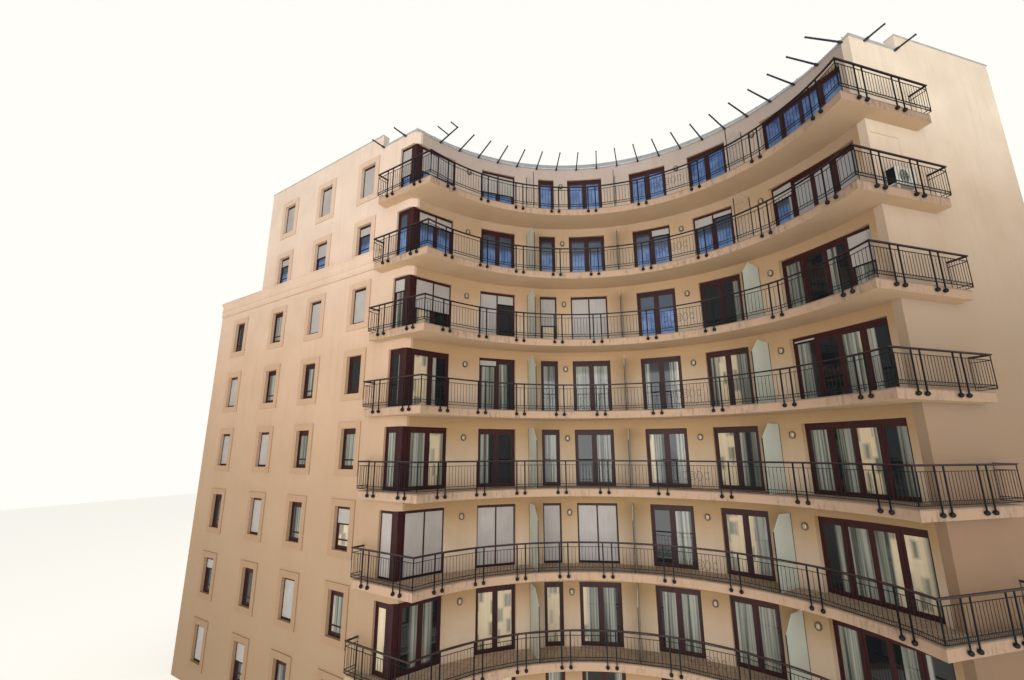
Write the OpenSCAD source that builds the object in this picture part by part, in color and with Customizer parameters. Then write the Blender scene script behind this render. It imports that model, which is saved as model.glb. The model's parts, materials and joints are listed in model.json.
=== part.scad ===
// Apartment block with a concave front round a courtyard, a straight wing on the left
// and a short return wall on the right. Millimetres, +Z up, the courtyard is towards -Y.
// The origin is at ground level, in the middle of the curved wall's thickness and of its arc.

/* [Storeys] */
// Number of storeys, the ground storey included
storeys = 8; // [4:1:10]
// Height from floor to floor
storey_h = 3000; // [2800:50:3600]
// Height of the lowest floor above the ground
ground_rise = 300; // [150:50:900]
// Thickness of the floors and balcony slabs
slab_t = 300; // [180:10:400]
// Height of door and window heads above their floor
head_h = 2320; // [2050:10:2400]
// Number of storeys at the top that stop short on the wing
set_back_storeys = 2; // [1:1:3]
// Height of the top storey's wall under the sloped roof edge
top_wall_h = 2930; // [2700:10:3500]
// Height of the parapet above the highest floor
parapet_h = 3540; // [3300:10:4200]
// Height of the roof terrace's parapet above its floor
terrace_parapet_h = 820; // [600:10:1200]

/* [Plan] */
// Radius of the concave front
court_r = 8750; // [7000:50:10500]
// Half the angle that the concave front covers
court_half_angle = 66; // [55:1:70]
// Thickness of the outer walls
wall_t = 300; // [240:10:450]
// Length of the wing's lower storeys along their front
wing_len = 15600; // [14600:100:18800]
// Length of the wing's set-back storeys along their front
upper_wing_len = 11460; // [11000:10:13000]
// Angle by which the wing's front leans back
wing_turn = 17.4; // [10:0.2:22]
// Length of the return wall on the right
side_len = 7000; // [5000:100:9000]
// Angle by which the return wall leans back
side_turn = 33.8; // [26:0.2:36]
// Length of the left corner's chamfer along both of its faces
chamfer = 200; // [100:10:220]
// Depth of the block behind the middle of the concave front
block_depth = 10250; // [8500:50:12300]

/* [Balconies] */
// Depth of the balconies in front of the curved wall
balcony_depth = 1390; // [1100:10:1700]
// Depth of the balconies' returns round both corners
return_depth = 450; // [380:10:600]
// Length of the left return, from the corner
left_return = 1700; // [1400:10:2200]
// Length of the right return, from the corner
right_return = 2300; // [1800:10:2800]
// Height of the railing above the balcony floor
railing_h = 1070; // [950:10:1200]
// Middles of the post pairs on the curve, as angles from its axis
post_angles = [-60.5, -47.6, -34.7, -21.8, -8.9, 8.2, 25.6, 44.9, 64.3];
// Distance between the two posts of a pair
pair_gap = 325; // [250:5:400]
// Side of a post
post_w = 32; // [26:1:50]
// Distance from one baluster to the next
baluster_pitch = 125; // [100:5:140]
// Diameter of a baluster
baluster_d = 14; // [10:1:18]
// Diameter of the ball at a post's foot
ball_d = 130; // [90:5:150]
// Width of the timber handrail
handrail_w = 60; // [45:1:80]
// Height of the timber handrail
handrail_h = 38; // [28:1:50]

/* [Doors and windows] */
// Middles of the pair doors, as angles from the curve's axis
pair_door_angles = [-38.4, -10.7, 8.6, 25.9];
// Width of a pair door
pair_door_w = 1650; // [1350:10:2000]
// Middle of the narrow door, as an angle from the curve's axis
narrow_door_angle = -22.9; // [-24:0.1:-21]
// Width of the narrow door
narrow_door_w = 770; // [650:10:900]
// Middle of the wide door, as an angle from the curve's axis
wide_door_angle = 51.8; // [50:0.1:53]
// Width of the wide door
wide_door_w = 3250; // [2700:10:3500]
// Width of the corner door along the curve
corner_door_w = 2040; // [1700:10:2300]
// Width of the corner window on the wing side
corner_return_w = 980; // [780:10:1180]
// Side of the timber corner post
corner_post_w = 240; // [200:10:300]
// Width of a window
window_w = 930; // [800:10:1100]
// Height of a window
window_h = 1600; // [1300:10:1800]
// Distance of the first window column on the wing from the corner
first_window = 3080; // [2900:10:3300]
// Distance from one window column to the next
window_pitch = 3200; // [3000:10:3400]
// Extra distance to the last window column of the lower storeys
last_window_extra = 550; // [0:10:800]
// Width of the plaster surround round a window
surround_w = 260; // [150:10:300]
// Thickness of the plaster surround
surround_t = 45; // [25:5:80]
// Depth of the door and window frames
joinery_t = 70; // [50:5:90]
// Setback of the frames from the wall's face
reveal = 95; // [60:5:140]
// Width of a frame's outer members
frame_w = 60; // [40:5:80]
// Width of a leaf's stiles and rails
stile_w = 80; // [60:5:100]
// Thickness of the glass
glass_t = 24; // [16:1:36]

/* [Fittings] */
// Middles of the privacy screens, as angles from the curve's axis
screen_angles = [-29.2, -1.1, 36.1];
// Thickness of a privacy screen
screen_t = 12; // [8:1:20]
// Height of a privacy screen at the wall
screen_h = 2340; // [1900:10:2400]
// Middles of the wall lamps, as angles from the curve's axis
lamp_angles = [-48.2, -18.2, 17.3, 39.0];
// Height of the lamps above the floor
lamp_h = 1950; // [1700:10:2100]
// Angle from one roof bar to the next
fin_step = 6.45; // [5:0.05:8]
// Length of a roof bar in front of the wall
fin_len = 1400; // [1000:10:1700]
// Width and height of a roof bar
fin_w = 70; // [50:5:100]

/* [Hidden] */
$fn = 64;
court_y = court_r + wall_t / 2;
upper_z = ground_rise + (storeys - 1) * storey_h;
wall_top_z = upper_z + top_wall_h;
parapet_z = upper_z + parapet_h;
terrace_k = storeys - set_back_storeys;
terrace_z = ground_rise + terrace_k * storey_h;
terrace_top_z = terrace_z + terrace_parapet_h;
balcony_r = court_r - balcony_depth;
back_y = court_r + block_depth;

left_corner = court_pt(court_r, -court_half_angle);
right_corner = court_pt(court_r, court_half_angle);
left_x = left_corner.x - wing_len * cos(wing_turn);
upper_x = left_corner.x - upper_wing_len * cos(wing_turn);
right_x = right_corner.x + side_len * cos(side_turn);

function court_pt(r, a) = [r * sin(a), r * cos(a)];
function floor_z(k) = ground_rise + k * storey_h;
// Height of the line that is a distance inside the wing's or the return wall's face, at x
function wing_y(x, inside = 0) = left_corner.y + (left_corner.x - x) * tan(wing_turn)
    + inside / cos(wing_turn);
function side_y(x, inside = 0) = right_corner.y + (x - right_corner.x) * tan(side_turn)
    + inside / cos(side_turn);
function wing_pt(s, inside) = left_corner + s * [-cos(wing_turn), sin(wing_turn)]
    + inside * [sin(wing_turn), cos(wing_turn)];
function side_pt(s, inside) = right_corner + s * [cos(side_turn), sin(side_turn)]
    + inside * [-sin(side_turn), cos(side_turn)];

// Where a line from p along the unit direction d meets the circle of radius r, on the way out
function line_on_circle(p, d, r) = p + d * (-p * d + sqrt((p * d) * (p * d) - p * p + r * r));
// Angles at which the curved wall ends: where its face meets the inner lines of the straight walls
left_end = line_on_circle(wing_pt(-court_r / 2, wall_t), [-cos(wing_turn), sin(wing_turn)], court_r);
right_end = line_on_circle(side_pt(-court_r / 2, wall_t), [cos(side_turn), sin(side_turn)], court_r);
left_end_a = atan2(left_end.x, left_end.y);
right_end_a = atan2(right_end.x, right_end.y);
// Where the left corner's chamfer meets the curve
chamfer_end = court_pt(court_r, -court_half_angle + asin(chamfer / court_r));

render_colour = "#E3C79C";
iron_colour = "#1E2228";
timber_colour = "#5B2F2C";
glass_colour = "#5F7488";
zinc_colour = "#9A9A9C";
screen_colour = "#C9D6CC";

// Moves a child from the arc's centre to the part's own frame
module court() {
    translate([0, -court_y, 0]) children();
}

// Puts a child, drawn with its width along X and its depth along +Y, on the curve at an angle
module on_curve(a, r = court_r) {
    rotate(-a) translate([0, r, 0]) children();
}

// Puts a child on the wing's front, s away from the corner
module on_wing(s) {
    translate(left_corner) rotate(-wing_turn) translate([-s, 0, 0]) children();
}

// Puts a child on the return wall's front, s away from the corner
module on_side(s) {
    translate(right_corner) rotate(side_turn) translate([s, 0, 0]) children();
}

// Puts a child on the back wall, s away from its right end
module on_back(s) {
    translate([right_x - s, back_y, 0]) rotate(180) children();
}

// Whole plan of the block, to the outer faces of its walls
module outer_plan(x0) {
    difference() {
        polygon([[x0, wing_y(x0)], wing_pt(chamfer, 0), 2 * chamfer_end - wing_pt(chamfer, 0), right_corner,
            [right_x, side_y(right_x)], [right_x, back_y], [x0, back_y]]);
        circle(court_r, $fn = 360);
    }
}

// Plan of the space inside the walls
module inner_plan(x0) {
    x1 = x0 + wall_t;
    x2 = right_x - wall_t;
    y2 = back_y - wall_t;
    difference() {
        polygon([[x1, wing_y(x1, wall_t)], [0, wing_y(0, wall_t)], [0, side_y(0, wall_t)],
            [x2, side_y(x2, wall_t)], [x2, y2], [x1, y2]]);
        circle(court_r + wall_t, $fn = 360);
    }
}

// Plan of the wing's front wall, which ends on a radial plane where its inner line meets the curve
module wing_plan(x0) {
    polygon([[x0, wing_y(x0)], wing_pt(chamfer, 0), chamfer_end,
        court_pt(court_r, left_end_a), court_pt(court_r + wall_t, left_end_a),
        line_on_circle(wing_pt(-wall_t, wall_t), [-cos(wing_turn), sin(wing_turn)], court_r + wall_t),
        [x0, wing_y(x0, wall_t)]]);
}

module side_plan() {
    polygon([[right_x, side_y(right_x)], right_corner, court_pt(court_r, right_end_a),
        court_pt(court_r + wall_t, right_end_a),
        line_on_circle(side_pt(-wall_t, wall_t), [cos(side_turn), sin(side_turn)], court_r + wall_t),
        [right_x, side_y(right_x, wall_t)]]);
}

// A hole through a wall, as wide as w, centred on the child's place
module opening(w, h, z, depth = 3 * wall_t) {
    translate([-w / 2, -depth / 3, z]) cube([w, depth, h]);
}

// Door openings of the curved wall from left to right: the middle as an angle, and the width
corner_door_angle = -court_half_angle + asin(corner_door_w / 2 / court_r);
curve_doors = [[corner_door_angle, corner_door_w], [pair_door_angles[0], pair_door_w],
    [narrow_door_angle, narrow_door_w], [pair_door_angles[1], pair_door_w],
    [pair_door_angles[2], pair_door_w], [pair_door_angles[3], pair_door_w], [wide_door_angle, wide_door_w]];

// A ring of the curve between two angles, with a profile drawn as radius and height
module curved(a0, a1) {
    rotate(90 - a1) rotate_extrude(angle = a1 - a0, $fn = 512) children();
}

// Angle from a door's middle to just past the edge of its opening, on the curve or further out
overcut = 0.02;
function half_door(i, r = court_r) = asin(curve_doors[i][1] / 2 / r) + overcut;

// Pier of the curved wall on the right of door i, from the ground to the roof edge
module court_wall(i) {
    r = court_r + wall_t;
    color(render_colour) court() difference() {
        curved(curve_doors[i - 1][0] + half_door(i - 1, r) - 2 * overcut,
            i == len(curve_doors) ? right_end_a : curve_doors[i][0] - half_door(i, r) + 2 * overcut)
            translate([court_r, 0]) square([wall_t, wall_top_z]);
        for (d = curve_doors) on_curve(d[0]) opening(d[1], wall_top_z + 2, -1);
    }
}

// Wall below the lowest doors, between the doors of two storeys and above the highest doors
module door_lintels() {
    color(render_colour) court() for (i = [0 : len(curve_doors) - 1], k = [-1 : storeys - 1]) {
        a = curve_doors[i][0];
        z0 = k < 0 ? 0 : floor_z(k) + head_h;
        z1 = k == storeys - 1 ? wall_top_z : floor_z(k + 1);
        intersection() {
            translate([0, 0, z0]) curved(i == 0 ? left_end_a : a - half_door(i), a + half_door(i))
                translate([court_r, 0]) square([wall_t, z1 - z0]);
            on_curve(a) opening(curve_doors[i][1], z1 - z0 + 2, z0 - 1);
        }
    }
}

// Places of the wing's windows, measured from the corner
function wing_columns(k) = [for (i = [0 : k < terrace_k ? 3 : 2])
    first_window + i * window_pitch + (i == 3 ? last_window_extra : 0)];
// Places of the back windows, measured from the right end
back_first = 1900;
back_len = right_x - left_x;
function back_columns(k) = [for (s = [back_first : window_pitch : back_len - back_first / 2])
    if (k < terrace_k || right_x - s > upper_x + back_first / 2) s];
entrance_s = back_first + 5 * window_pitch;
entrance_w = 1800;

// Height of the window sills above the floor: in the terrace's storey they are on top of its parapet
function sill_h(k) = max(head_h - window_h, k == terrace_k ? terrace_parapet_h : 0);

module wing_openings(k0, k1) {
    for (k = [k0 : k1]) {
        for (s = wing_columns(k)) on_wing(s) opening(window_w, head_h - sill_h(k), floor_z(k) + sill_h(k));
        on_wing((corner_return_w - wall_t) / 2) opening(corner_return_w + wall_t, head_h, floor_z(k));
    }
}

module wing_wall_lower() {
    color(render_colour) court() difference() {
        linear_extrude(terrace_top_z) wing_plan(left_x);
        wing_openings(0, terrace_k);
    }
}

module wing_wall_upper() {
    color(render_colour) court() difference() {
        union() {
            translate([0, 0, terrace_top_z]) linear_extrude(wall_top_z - terrace_top_z) wing_plan(upper_x);
            translate([0, 0, wall_top_z]) linear_extrude(parapet_z - wall_top_z)
                polygon([[upper_x, wing_y(upper_x)], wing_pt(edge_return, 0), wing_pt(edge_return, wall_t),
                    [upper_x, wing_y(upper_x, wall_t)]]);
        }
        wing_openings(terrace_k, storeys - 1);
    }
}

// Raised strips on the return wall, over and beside the balcony of the terrace's storey
strip_w = 100;
strip_t = 20;
strip_end = 1400;

module side_wall() {
    color(render_colour) court() {
        linear_extrude(wall_top_z) side_plan();
        translate([0, 0, floor_z(terrace_k)]) on_side(strip_end) {
            translate([-strip_w, -strip_t, 0]) cube([strip_w, 2 * strip_t, head_h]);
            translate([strip_w - strip_end, -strip_t, head_h - strip_w])
                cube([strip_end - strip_w, 2 * strip_t, strip_w]);
        }
        translate([0, 0, wall_top_z]) linear_extrude(parapet_z - wall_top_z)
            polygon([side_pt(edge_return, 0), [right_x, side_y(right_x)],
                [right_x, side_y(right_x, wall_t)], side_pt(edge_return, wall_t)]);
    }
}

module back_openings(k0, k1) {
    for (k = [k0 : k1], s = back_columns(k))
        if (k == 0 && s == entrance_s)
            on_back(s) opening(entrance_w, head_h, floor_z(0));
        else
            on_back(s) opening(window_w, head_h - sill_h(k), floor_z(k) + sill_h(k));
}

module back_wall_lower() {
    color(render_colour) court() difference() {
        translate([left_x, back_y - wall_t, 0]) cube([back_len, wall_t, terrace_top_z]);
        back_openings(0, terrace_k - 1);
    }
}

module back_wall_upper() {
    color(render_colour) court() difference() {
        translate([upper_x, back_y - wall_t, terrace_top_z])
            cube([right_x - upper_x, wall_t, parapet_z - terrace_top_z]);
        back_openings(terrace_k, storeys - 1);
    }
}

// Plan of an end wall whose outer face is at x, between the front and the back walls
module end_plan(x0) {
    polygon([[x0, wing_y(x0, wall_t)], [x0 + wall_t, wing_y(x0 + wall_t, wall_t)],
        [x0 + wall_t, back_y - wall_t], [x0, back_y - wall_t]]);
}

module end_walls() {
    color(render_colour) court() {
        linear_extrude(terrace_top_z) end_plan(left_x);
        translate([0, 0, terrace_z]) linear_extrude(parapet_z - terrace_z) end_plan(upper_x);
        linear_extrude(parapet_z)
            polygon([[right_x - wall_t, side_y(right_x - wall_t, wall_t)], [right_x, side_y(right_x, wall_t)],
                [right_x, back_y - wall_t], [right_x - wall_t, back_y - wall_t]]);
    }
}

module floor_slabs() {
    color("#8F8B84") court() for (k = [0 : storeys - 1])
        translate([0, 0, floor_z(k) - slab_t]) linear_extrude(slab_t)
            inner_plan(k <= terrace_k ? left_x : upper_x);
}

// Narrow joints over the piers of the curved wall, which divide the roof slab and the gutter
module pier_joints() {
    for (i = [1 : len(curve_doors) - 1])
        rotate(-(curve_doors[i - 1][0] + curve_doors[i][0]) / 2)
            translate([-seat, 0]) square([2 * seat, 2 * back_y]);
}

module roof_slab() {
    color("#8F8B84") court() translate([0, 0, wall_top_z - slab_t]) linear_extrude(slab_t) difference() {
        inner_plan(upper_x);
        pier_joints();
    }
}

// Plan of a ledge that follows the curve and returns round both corners: d is its depth on the curve
// and e its depth on the returns
module ledge_plan(d, e, left_len, right_len) {
    difference() {
        polygon([wing_pt(left_len, wall_t), wing_pt(left_len, -e), wing_pt(-2 * court_r / 3, -e), [0, 0],
            side_pt(-2 * court_r / 3, -e), side_pt(right_len, -e), side_pt(right_len, wall_t),
            [0, court_r + block_depth / 2]]);
        circle(court_r - d, $fn = 360);
        outer_plan(left_x);
    }
}

module balcony_slab(k) {
    color(render_colour) court() translate([0, 0, floor_z(k) - slab_t]) linear_extrude(slab_t)
        ledge_plan(balcony_depth, return_depth, left_return, right_return);
}

// Line of the railing: just outside the slab's edge, so that the balls at the posts' feet touch it
seat = 0.3;
rail_r = balcony_r - ball_d / 2 - seat;
rail_off = return_depth + ball_d / 2 + seat;
left_rail_corner = line_on_circle(wing_pt(-court_r / 2, -rail_off), [-cos(wing_turn), sin(wing_turn)], rail_r);
right_rail_corner = line_on_circle(side_pt(-court_r / 2, -rail_off), [cos(side_turn), sin(side_turn)], rail_r);
half_pair = asin(pair_gap / 2 / rail_r);
left_pairs = [940, -670];
right_pairs = [-680, 910];
// Corners and posts of the railing from left to right: the place, whether it is a post, and its direction
rail_points = concat(
    [[wing_pt(left_return, 0), 0, 0], [wing_pt(left_return, -rail_off), 0, 0]],
    [for (s = left_pairs, e = [1, -1]) [wing_pt(s + e * pair_gap / 2, -rail_off), 1, -wing_turn]],
    [[left_rail_corner, 0, 0]],
    [for (a = post_angles, e = [-1, 1]) [court_pt(rail_r, a + e * half_pair), 1, -a - e * half_pair]],
    [[right_rail_corner, 0, 0]],
    [for (s = right_pairs, e = [-1, 1]) [side_pt(s + e * pair_gap / 2, -rail_off), 1, side_turn]],
    [[side_pt(right_return, -rail_off), 0, 0], [side_pt(right_return, 0), 0, 0]]);

rail_h = 18;
rail_t = baluster_d + 6;
// Width of the flats by which a panel is fixed to its posts
flat_w = 8;
low_rail_z = 70;
mid_rail_z = 170;
upper_rail_z = 880;
top_rail_z = railing_h - handrail_h - rail_h;

// Direction of the railing's panel i, and how far its line turns at its start
function rail_dir(i) = atan2(rail_points[i + 1][0].y - rail_points[i][0].y,
    rail_points[i + 1][0].x - rail_points[i][0].x);
function rail_turn(i) = i == 0 || i == len(rail_points) - 1 ? 0 : rail_dir(i) - rail_dir(i - 1);
// How far a panel that runs in a direction stops short of point i
function panel_gap(i, direction) = seat + (rail_points[i][1] == 1
    ? post_w / 2 + rail_t / 2 * abs(tan(direction - rail_points[i][2]))
    : rail_t / 2 * tan(abs(rail_turn(i)) / 2));

// Flat panel i of the railing: rails between two flats, with round balusters between the middle rails
module rail_panel(i) {
    p = rail_points[i][0];
    direction = rail_dir(i);
    x0 = panel_gap(i, direction);
    x1 = norm(rail_points[i + 1][0] - p) - panel_gap(i + 1, direction);
    n = max(1, round((x1 - x0) / baluster_pitch));
    pitch = (x1 - x0) / n;
    translate(p) rotate(direction) {
        translate([0, rail_t / 2, 0]) rotate([90, 0, 0]) linear_extrude(rail_t) difference() {
            translate([x0, low_rail_z]) square([x1 - x0, top_rail_z + rail_h - low_rail_z]);
            for (z = [[low_rail_z, mid_rail_z], [mid_rail_z, upper_rail_z], [upper_rail_z, top_rail_z]])
                translate([x0 + flat_w, z[0] + rail_h]) square([x1 - x0 - 2 * flat_w, z[1] - z[0] - rail_h]);
        }
        if (n > 1) for (j = [1 : n - 1]) translate([x0 + j * pitch, 0, mid_rail_z + rail_h / 2])
            cylinder(d = baluster_d, h = upper_rail_z - mid_rail_z);
    }
}

// A post with the ball that fixes it to the slab's edge
module rail_post(p) {
    translate([p[0].x, p[0].y, -slab_t / 2]) rotate(p[2]) {
        translate([-post_w / 2, -post_w / 2, 0]) cube([post_w, post_w, slab_t / 2 + railing_h - handrail_h]);
        sphere(d = ball_d);
    }
}

module railing(k) {
    color(iron_colour) court() translate([0, 0, floor_z(k)]) {
        for (i = [0 : len(rail_points) - 2]) rail_panel(i);
        for (p = rail_points) if (p[1] == 1) rail_post(p);
    }
}

// Direction of the stretch that starts at point i of a line
function dir_at(line, i) = atan2(line[i + 1].y - line[i].y, line[i + 1].x - line[i].x);

// Plan of a strip along a line, mitred where it turns: a left turn counts as positive
module strip_along(line, w, first_turn = 0, last_turn = 0) {
    last = len(line) - 2;
    for (i = [0 : last]) {
        d = norm(line[i + 1] - line[i]);
        start = w / 2 * tan((i == 0 ? first_turn : dir_at(line, i) - dir_at(line, i - 1)) / 2);
        end = w / 2 * tan((i == last ? last_turn : dir_at(line, i + 1) - dir_at(line, i)) / 2);
        translate(line[i]) rotate(dir_at(line, i)) polygon([[seat + start, w / 2], [d - seat - end, w / 2],
            [d - seat + end, -w / 2], [seat - start, -w / 2]]);
    }
}

// Angle covered by the straight length of handrail between each corner and the curve
corner_arc = 1.5;

module handrails() {
    left_a = atan2(left_rail_corner.x, left_rail_corner.y) + corner_arc;
    right_a = atan2(right_rail_corner.x, right_rail_corner.y) - corner_arc;
    mids = concat([left_a], post_angles, [right_a]);
    joint = asin(seat / rail_r);
    color(timber_colour) court() for (k = [1 : storeys - 1])
        translate([0, 0, floor_z(k) + railing_h - handrail_h]) {
            for (i = [0 : len(mids) - 2]) curved(mids[i] + joint, mids[i + 1] - joint)
                translate([rail_r - handrail_w / 2, 0]) square([handrail_w, handrail_h]);
            linear_extrude(handrail_h) {
                strip_along([wing_pt(left_return, 0), wing_pt(left_return, -rail_off), left_rail_corner,
                    court_pt(rail_r, left_a)], handrail_w, last_turn = -corner_arc);
                strip_along([court_pt(rail_r, right_a), right_rail_corner, side_pt(right_return, -rail_off),
                    side_pt(right_return, 0)], handrail_w, first_turn = -corner_arc);
            }
        }
}

// How far a screen stops short of the slab's edge, how long its top is level, and how far it then drops
screen_inset = 60;
screen_flat = 800;
screen_drop = 500;
screen_post_w = 25;

module screen_places() {
    for (k = [1 : storeys - 1], a = screen_angles) translate([0, 0, floor_z(k)]) rotate(90 - a) children();
}

module privacy_screens() {
    r0 = balcony_r + screen_inset + screen_post_w + seat;
    r1 = court_r - screen_post_w - 2 * seat;
    color(screen_colour) court() screen_places() translate([0, screen_t / 2, 0]) rotate([90, 0, 0])
        linear_extrude(screen_t)
            polygon([[r0, 0], [r1, 0], [r1, screen_h], [court_r - screen_flat, screen_h],
                [r0, screen_h - screen_drop]]);
}

// Profiles at both ends of a screen: as high as the screen at the wall, and as its low end at the slab's edge
module screen_posts() {
    color(iron_colour) court() screen_places() {
        translate([court_r - screen_post_w - seat, -screen_post_w / 2, 0])
            cube([screen_post_w, screen_post_w, screen_h]);
        translate([balcony_r + screen_inset, -screen_post_w / 2, 0])
            cube([screen_post_w, screen_post_w, screen_h - screen_drop]);
    }
}

lamp_w = 200;
lamp_tall = 260;
lamp_rim = 36;
lamp_rim_t = 50;
lamp_t = 62;

// Outline of a lamp, or of a line that is a distance inside it
module lamp_outline(inside = 0) {
    for (z = [-1, 1]) translate([0, z * (lamp_tall - lamp_w) / 2]) circle(d = lamp_w - 2 * inside);
    square([lamp_w - 2 * inside, lamp_tall - lamp_w], center = true);
}

module lamp_places() {
    for (k = [1 : storeys - 1], a = lamp_angles) translate([0, 0, floor_z(k) + lamp_h])
        on_curve(a) translate([0, -sag(lamp_w), 0]) rotate([90, 0, 0]) children();
}

module wall_lamps() {
    color("#E9E6DC") court() lamp_places() linear_extrude(lamp_t) lamp_outline(lamp_rim + seat);
}

module lamp_rims() {
    color(iron_colour) court() lamp_places() linear_extrude(lamp_rim_t) difference() {
        lamp_outline();
        lamp_outline(lamp_rim);
    }
}

fin_angles = [for (a = [-58.2 : fin_step : court_half_angle]) a];
edge_return = 2200;
edge_run = 600;

gutter_w = 60;
gutter_h = 50;

module roof_gutter() {
    color(zinc_colour) court() translate([0, 0, wall_top_z - gutter_h]) linear_extrude(gutter_h)
        difference() {
            ledge_plan(gutter_w, gutter_w, edge_return, edge_return);
            pier_joints();
        }
}

// Thicker root and tip of a roof bar, places and length of the bars on the returns
root_w = 1.6 * fin_w;
root_len = 240;
tip_w = 1.3 * fin_w;
return_bars = [700, 2100];
return_bar_len = 700;
fin_z = wall_top_z - gutter_h - (root_w + fin_w) / 2 - seat;

// Bar that runs from the wall's face towards -Y
module roof_bar(l) {
    translate([-fin_w / 2, -l, 0]) cube([fin_w, l, fin_w]);
    translate([-root_w / 2, -root_len, (fin_w - root_w) / 2]) cube([root_w, root_len, root_w]);
    translate([-tip_w / 2, -l, (fin_w - tip_w) / 2]) cube([tip_w, tip_w, tip_w]);
}

module roof_bars() {
    color(iron_colour) court() translate([0, 0, fin_z]) {
        for (a = fin_angles) on_curve(a) translate([0, -sag(root_w), 0]) roof_bar(fin_len);
        for (s = return_bars) {
            on_wing(s) translate([0, -seat, 0]) roof_bar(return_bar_len);
            on_side(s) translate([0, -seat, 0]) roof_bar(return_bar_len);
        }
        for (c = [[fin_len / 2, fin_len / 2], [fin_len - fin_w / 2, 0.3 * fin_len]])
            translate(court_pt(court_r - c[0], fin_angles[0])) rotate(-wing_turn)
                translate([-fin_w / 2, -c[1], 0]) cube([fin_w, c[1], fin_w]);
    }
}

// Where the roof edge's slopes meet at their top, over the left and the right corner
hip_r = court_r + edge_run;
left_hip = line_on_circle(wing_pt(-court_r / 2, edge_run), [-cos(wing_turn), sin(wing_turn)], hip_r);
right_hip = line_on_circle(side_pt(-court_r / 2, edge_run), [cos(side_turn), sin(side_turn)], hip_r);
left_hip_a = atan2(left_hip.x, left_hip.y);
right_hip_a = atan2(right_hip.x, right_hip.y);

// Straight slope that rises from the line p to q, clipped to the plan of its children
module straight_slope(p, q) {
    d = q - p;
    rise = parapet_z - wall_top_z;
    run = edge_run + seat;
    intersection() {
        translate(p) rotate(atan2(d.y, d.x)) translate([-2 * run, 0, 0]) rotate([90, 0, 90])
            linear_extrude(norm(d) + 4 * run) polygon([[0, 0], [2 * run, 0], [2 * run, 2 * rise]]);
        linear_extrude(rise) children();
    }
}

// Sloped metal edge above the curved wall, which returns a little way round both corners
module roof_edge() {
    rise = parapet_z - wall_top_z;
    joint = asin(2 * seat / court_r);
    left_start = court_pt(court_r, left_hip_a);
    right_start = court_pt(court_r, right_hip_a);
    color(zinc_colour) court() translate([0, 0, wall_top_z]) {
        curved(left_hip_a + joint, right_hip_a - joint) translate([court_r, 0])
            polygon([[0, 0], [edge_run, 0], [edge_run, rise]]);
        straight_slope(left_corner, left_start)
            polygon([left_corner + [2 * seat, 2 * seat], left_start, left_hip + [2 * seat, 0]]);
        straight_slope(right_start, right_corner)
            polygon([right_corner + [-2 * seat, 2 * seat], right_start, right_hip - [2 * seat, 0]]);
        straight_slope(wing_pt(edge_return, 0), left_corner)
            polygon([left_corner, wing_pt(edge_return, 0), wing_pt(edge_return, edge_run), left_hip]);
        straight_slope(right_corner, side_pt(edge_return, 0))
            polygon([right_corner, side_pt(edge_return, 0), side_pt(edge_return, edge_run), right_hip]);
    }
}

coping_t = 40;
coping_out = 30;

// Metal caps on the parapets of the terrace and of the roof
module parapet_coping() {
    o = coping_out;
    w = wall_t + coping_out;
    x0 = left_x - o;
    x1 = left_x + w;
    x2 = upper_x - o;
    x3 = upper_x + w;
    x4 = right_x - w;
    x5 = right_x + o;
    color(zinc_colour) court() {
        translate([0, 0, terrace_top_z]) linear_extrude(coping_t)
            polygon([[x0, wing_y(x0, -o)], [upper_x - seat, wing_y(upper_x - seat, -o)],
                [upper_x - seat, wing_y(upper_x - seat, w)], [x1, wing_y(x1, w)], [x1, back_y - w],
                [upper_x - seat, back_y - w], [upper_x - seat, back_y + o], [x0, back_y + o]]);
        translate([0, 0, parapet_z]) linear_extrude(coping_t)
            polygon([wing_pt(edge_return, -o), [x2, wing_y(x2, -o)], [x2, back_y + o], [x5, back_y + o],
                [x5, side_y(x5, -o)], side_pt(edge_return, -o), side_pt(edge_return, w), [x4, side_y(x4, w)],
                [x4, back_y - w], [x3, back_y - w], [x3, wing_y(x3, w)], wing_pt(edge_return, w)]);
    }
}

// Profile of the moulded band along the wing: how far out and how far up from the terrace floor
band_profile = [[0, 0], [60, 0], [60, 60], [40, 90], [40, 300], [80, 330], [80, 380], [40, 400], [40, 620],
    [110, 700], [110, 760], [140, 780], [140, terrace_parapet_h], [0, terrace_parapet_h]];

module band_course() {
    color(render_colour) court() translate([0, 0, terrace_z]) on_wing(wing_len) rotate([90, 0, 90])
        linear_extrude(wing_len - left_return - wall_t / 2) polygon([for (p = band_profile) [-p.x, p.y]]);
}

// Plaster surround round a window with its sill at z, on the wall's face: its foot is left out above the band
module surround(z, foot) {
    rotate([90, 0, 0]) linear_extrude(surround_t) difference() {
        translate([-window_w / 2 - surround_w, z - foot])
            square([window_w + 2 * surround_w, head_h + surround_w + foot - z]);
        translate([-window_w / 2, foot > 0 ? z : z - 1]) square([window_w, head_h - z + (foot > 0 ? 0 : 1)]);
    }
}

module window_surrounds() {
    color(render_colour) court() {
        for (k = [0 : storeys - 1], s = wing_columns(k)) translate([0, 0, floor_z(k)])
            on_wing(s) surround(sill_h(k), k == terrace_k ? 0 : surround_w);
        for (k = [0 : storeys - 1], s = back_columns(k))
            if (!(k == 0 && s == entrance_s))
                translate([0, 0, floor_z(k)]) on_back(s) surround(sill_h(k), surround_w);
    }
}

// How far the corner post stands in from both faces
corner_post_set = reveal;

module corner_posts() {
    tangent = [cos(court_half_angle), sin(court_half_angle)];
    along = [-cos(wing_turn), sin(wing_turn)];
    p = left_corner + corner_post_set * (tangent + along);
    color(timber_colour) court() for (k = [0 : storeys - 1])
        translate([0, 0, floor_z(k)]) linear_extrude(head_h)
            polygon([p, p + corner_post_w * tangent, p + corner_post_w * (tangent + along),
                p + corner_post_w * along]);
}

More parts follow.
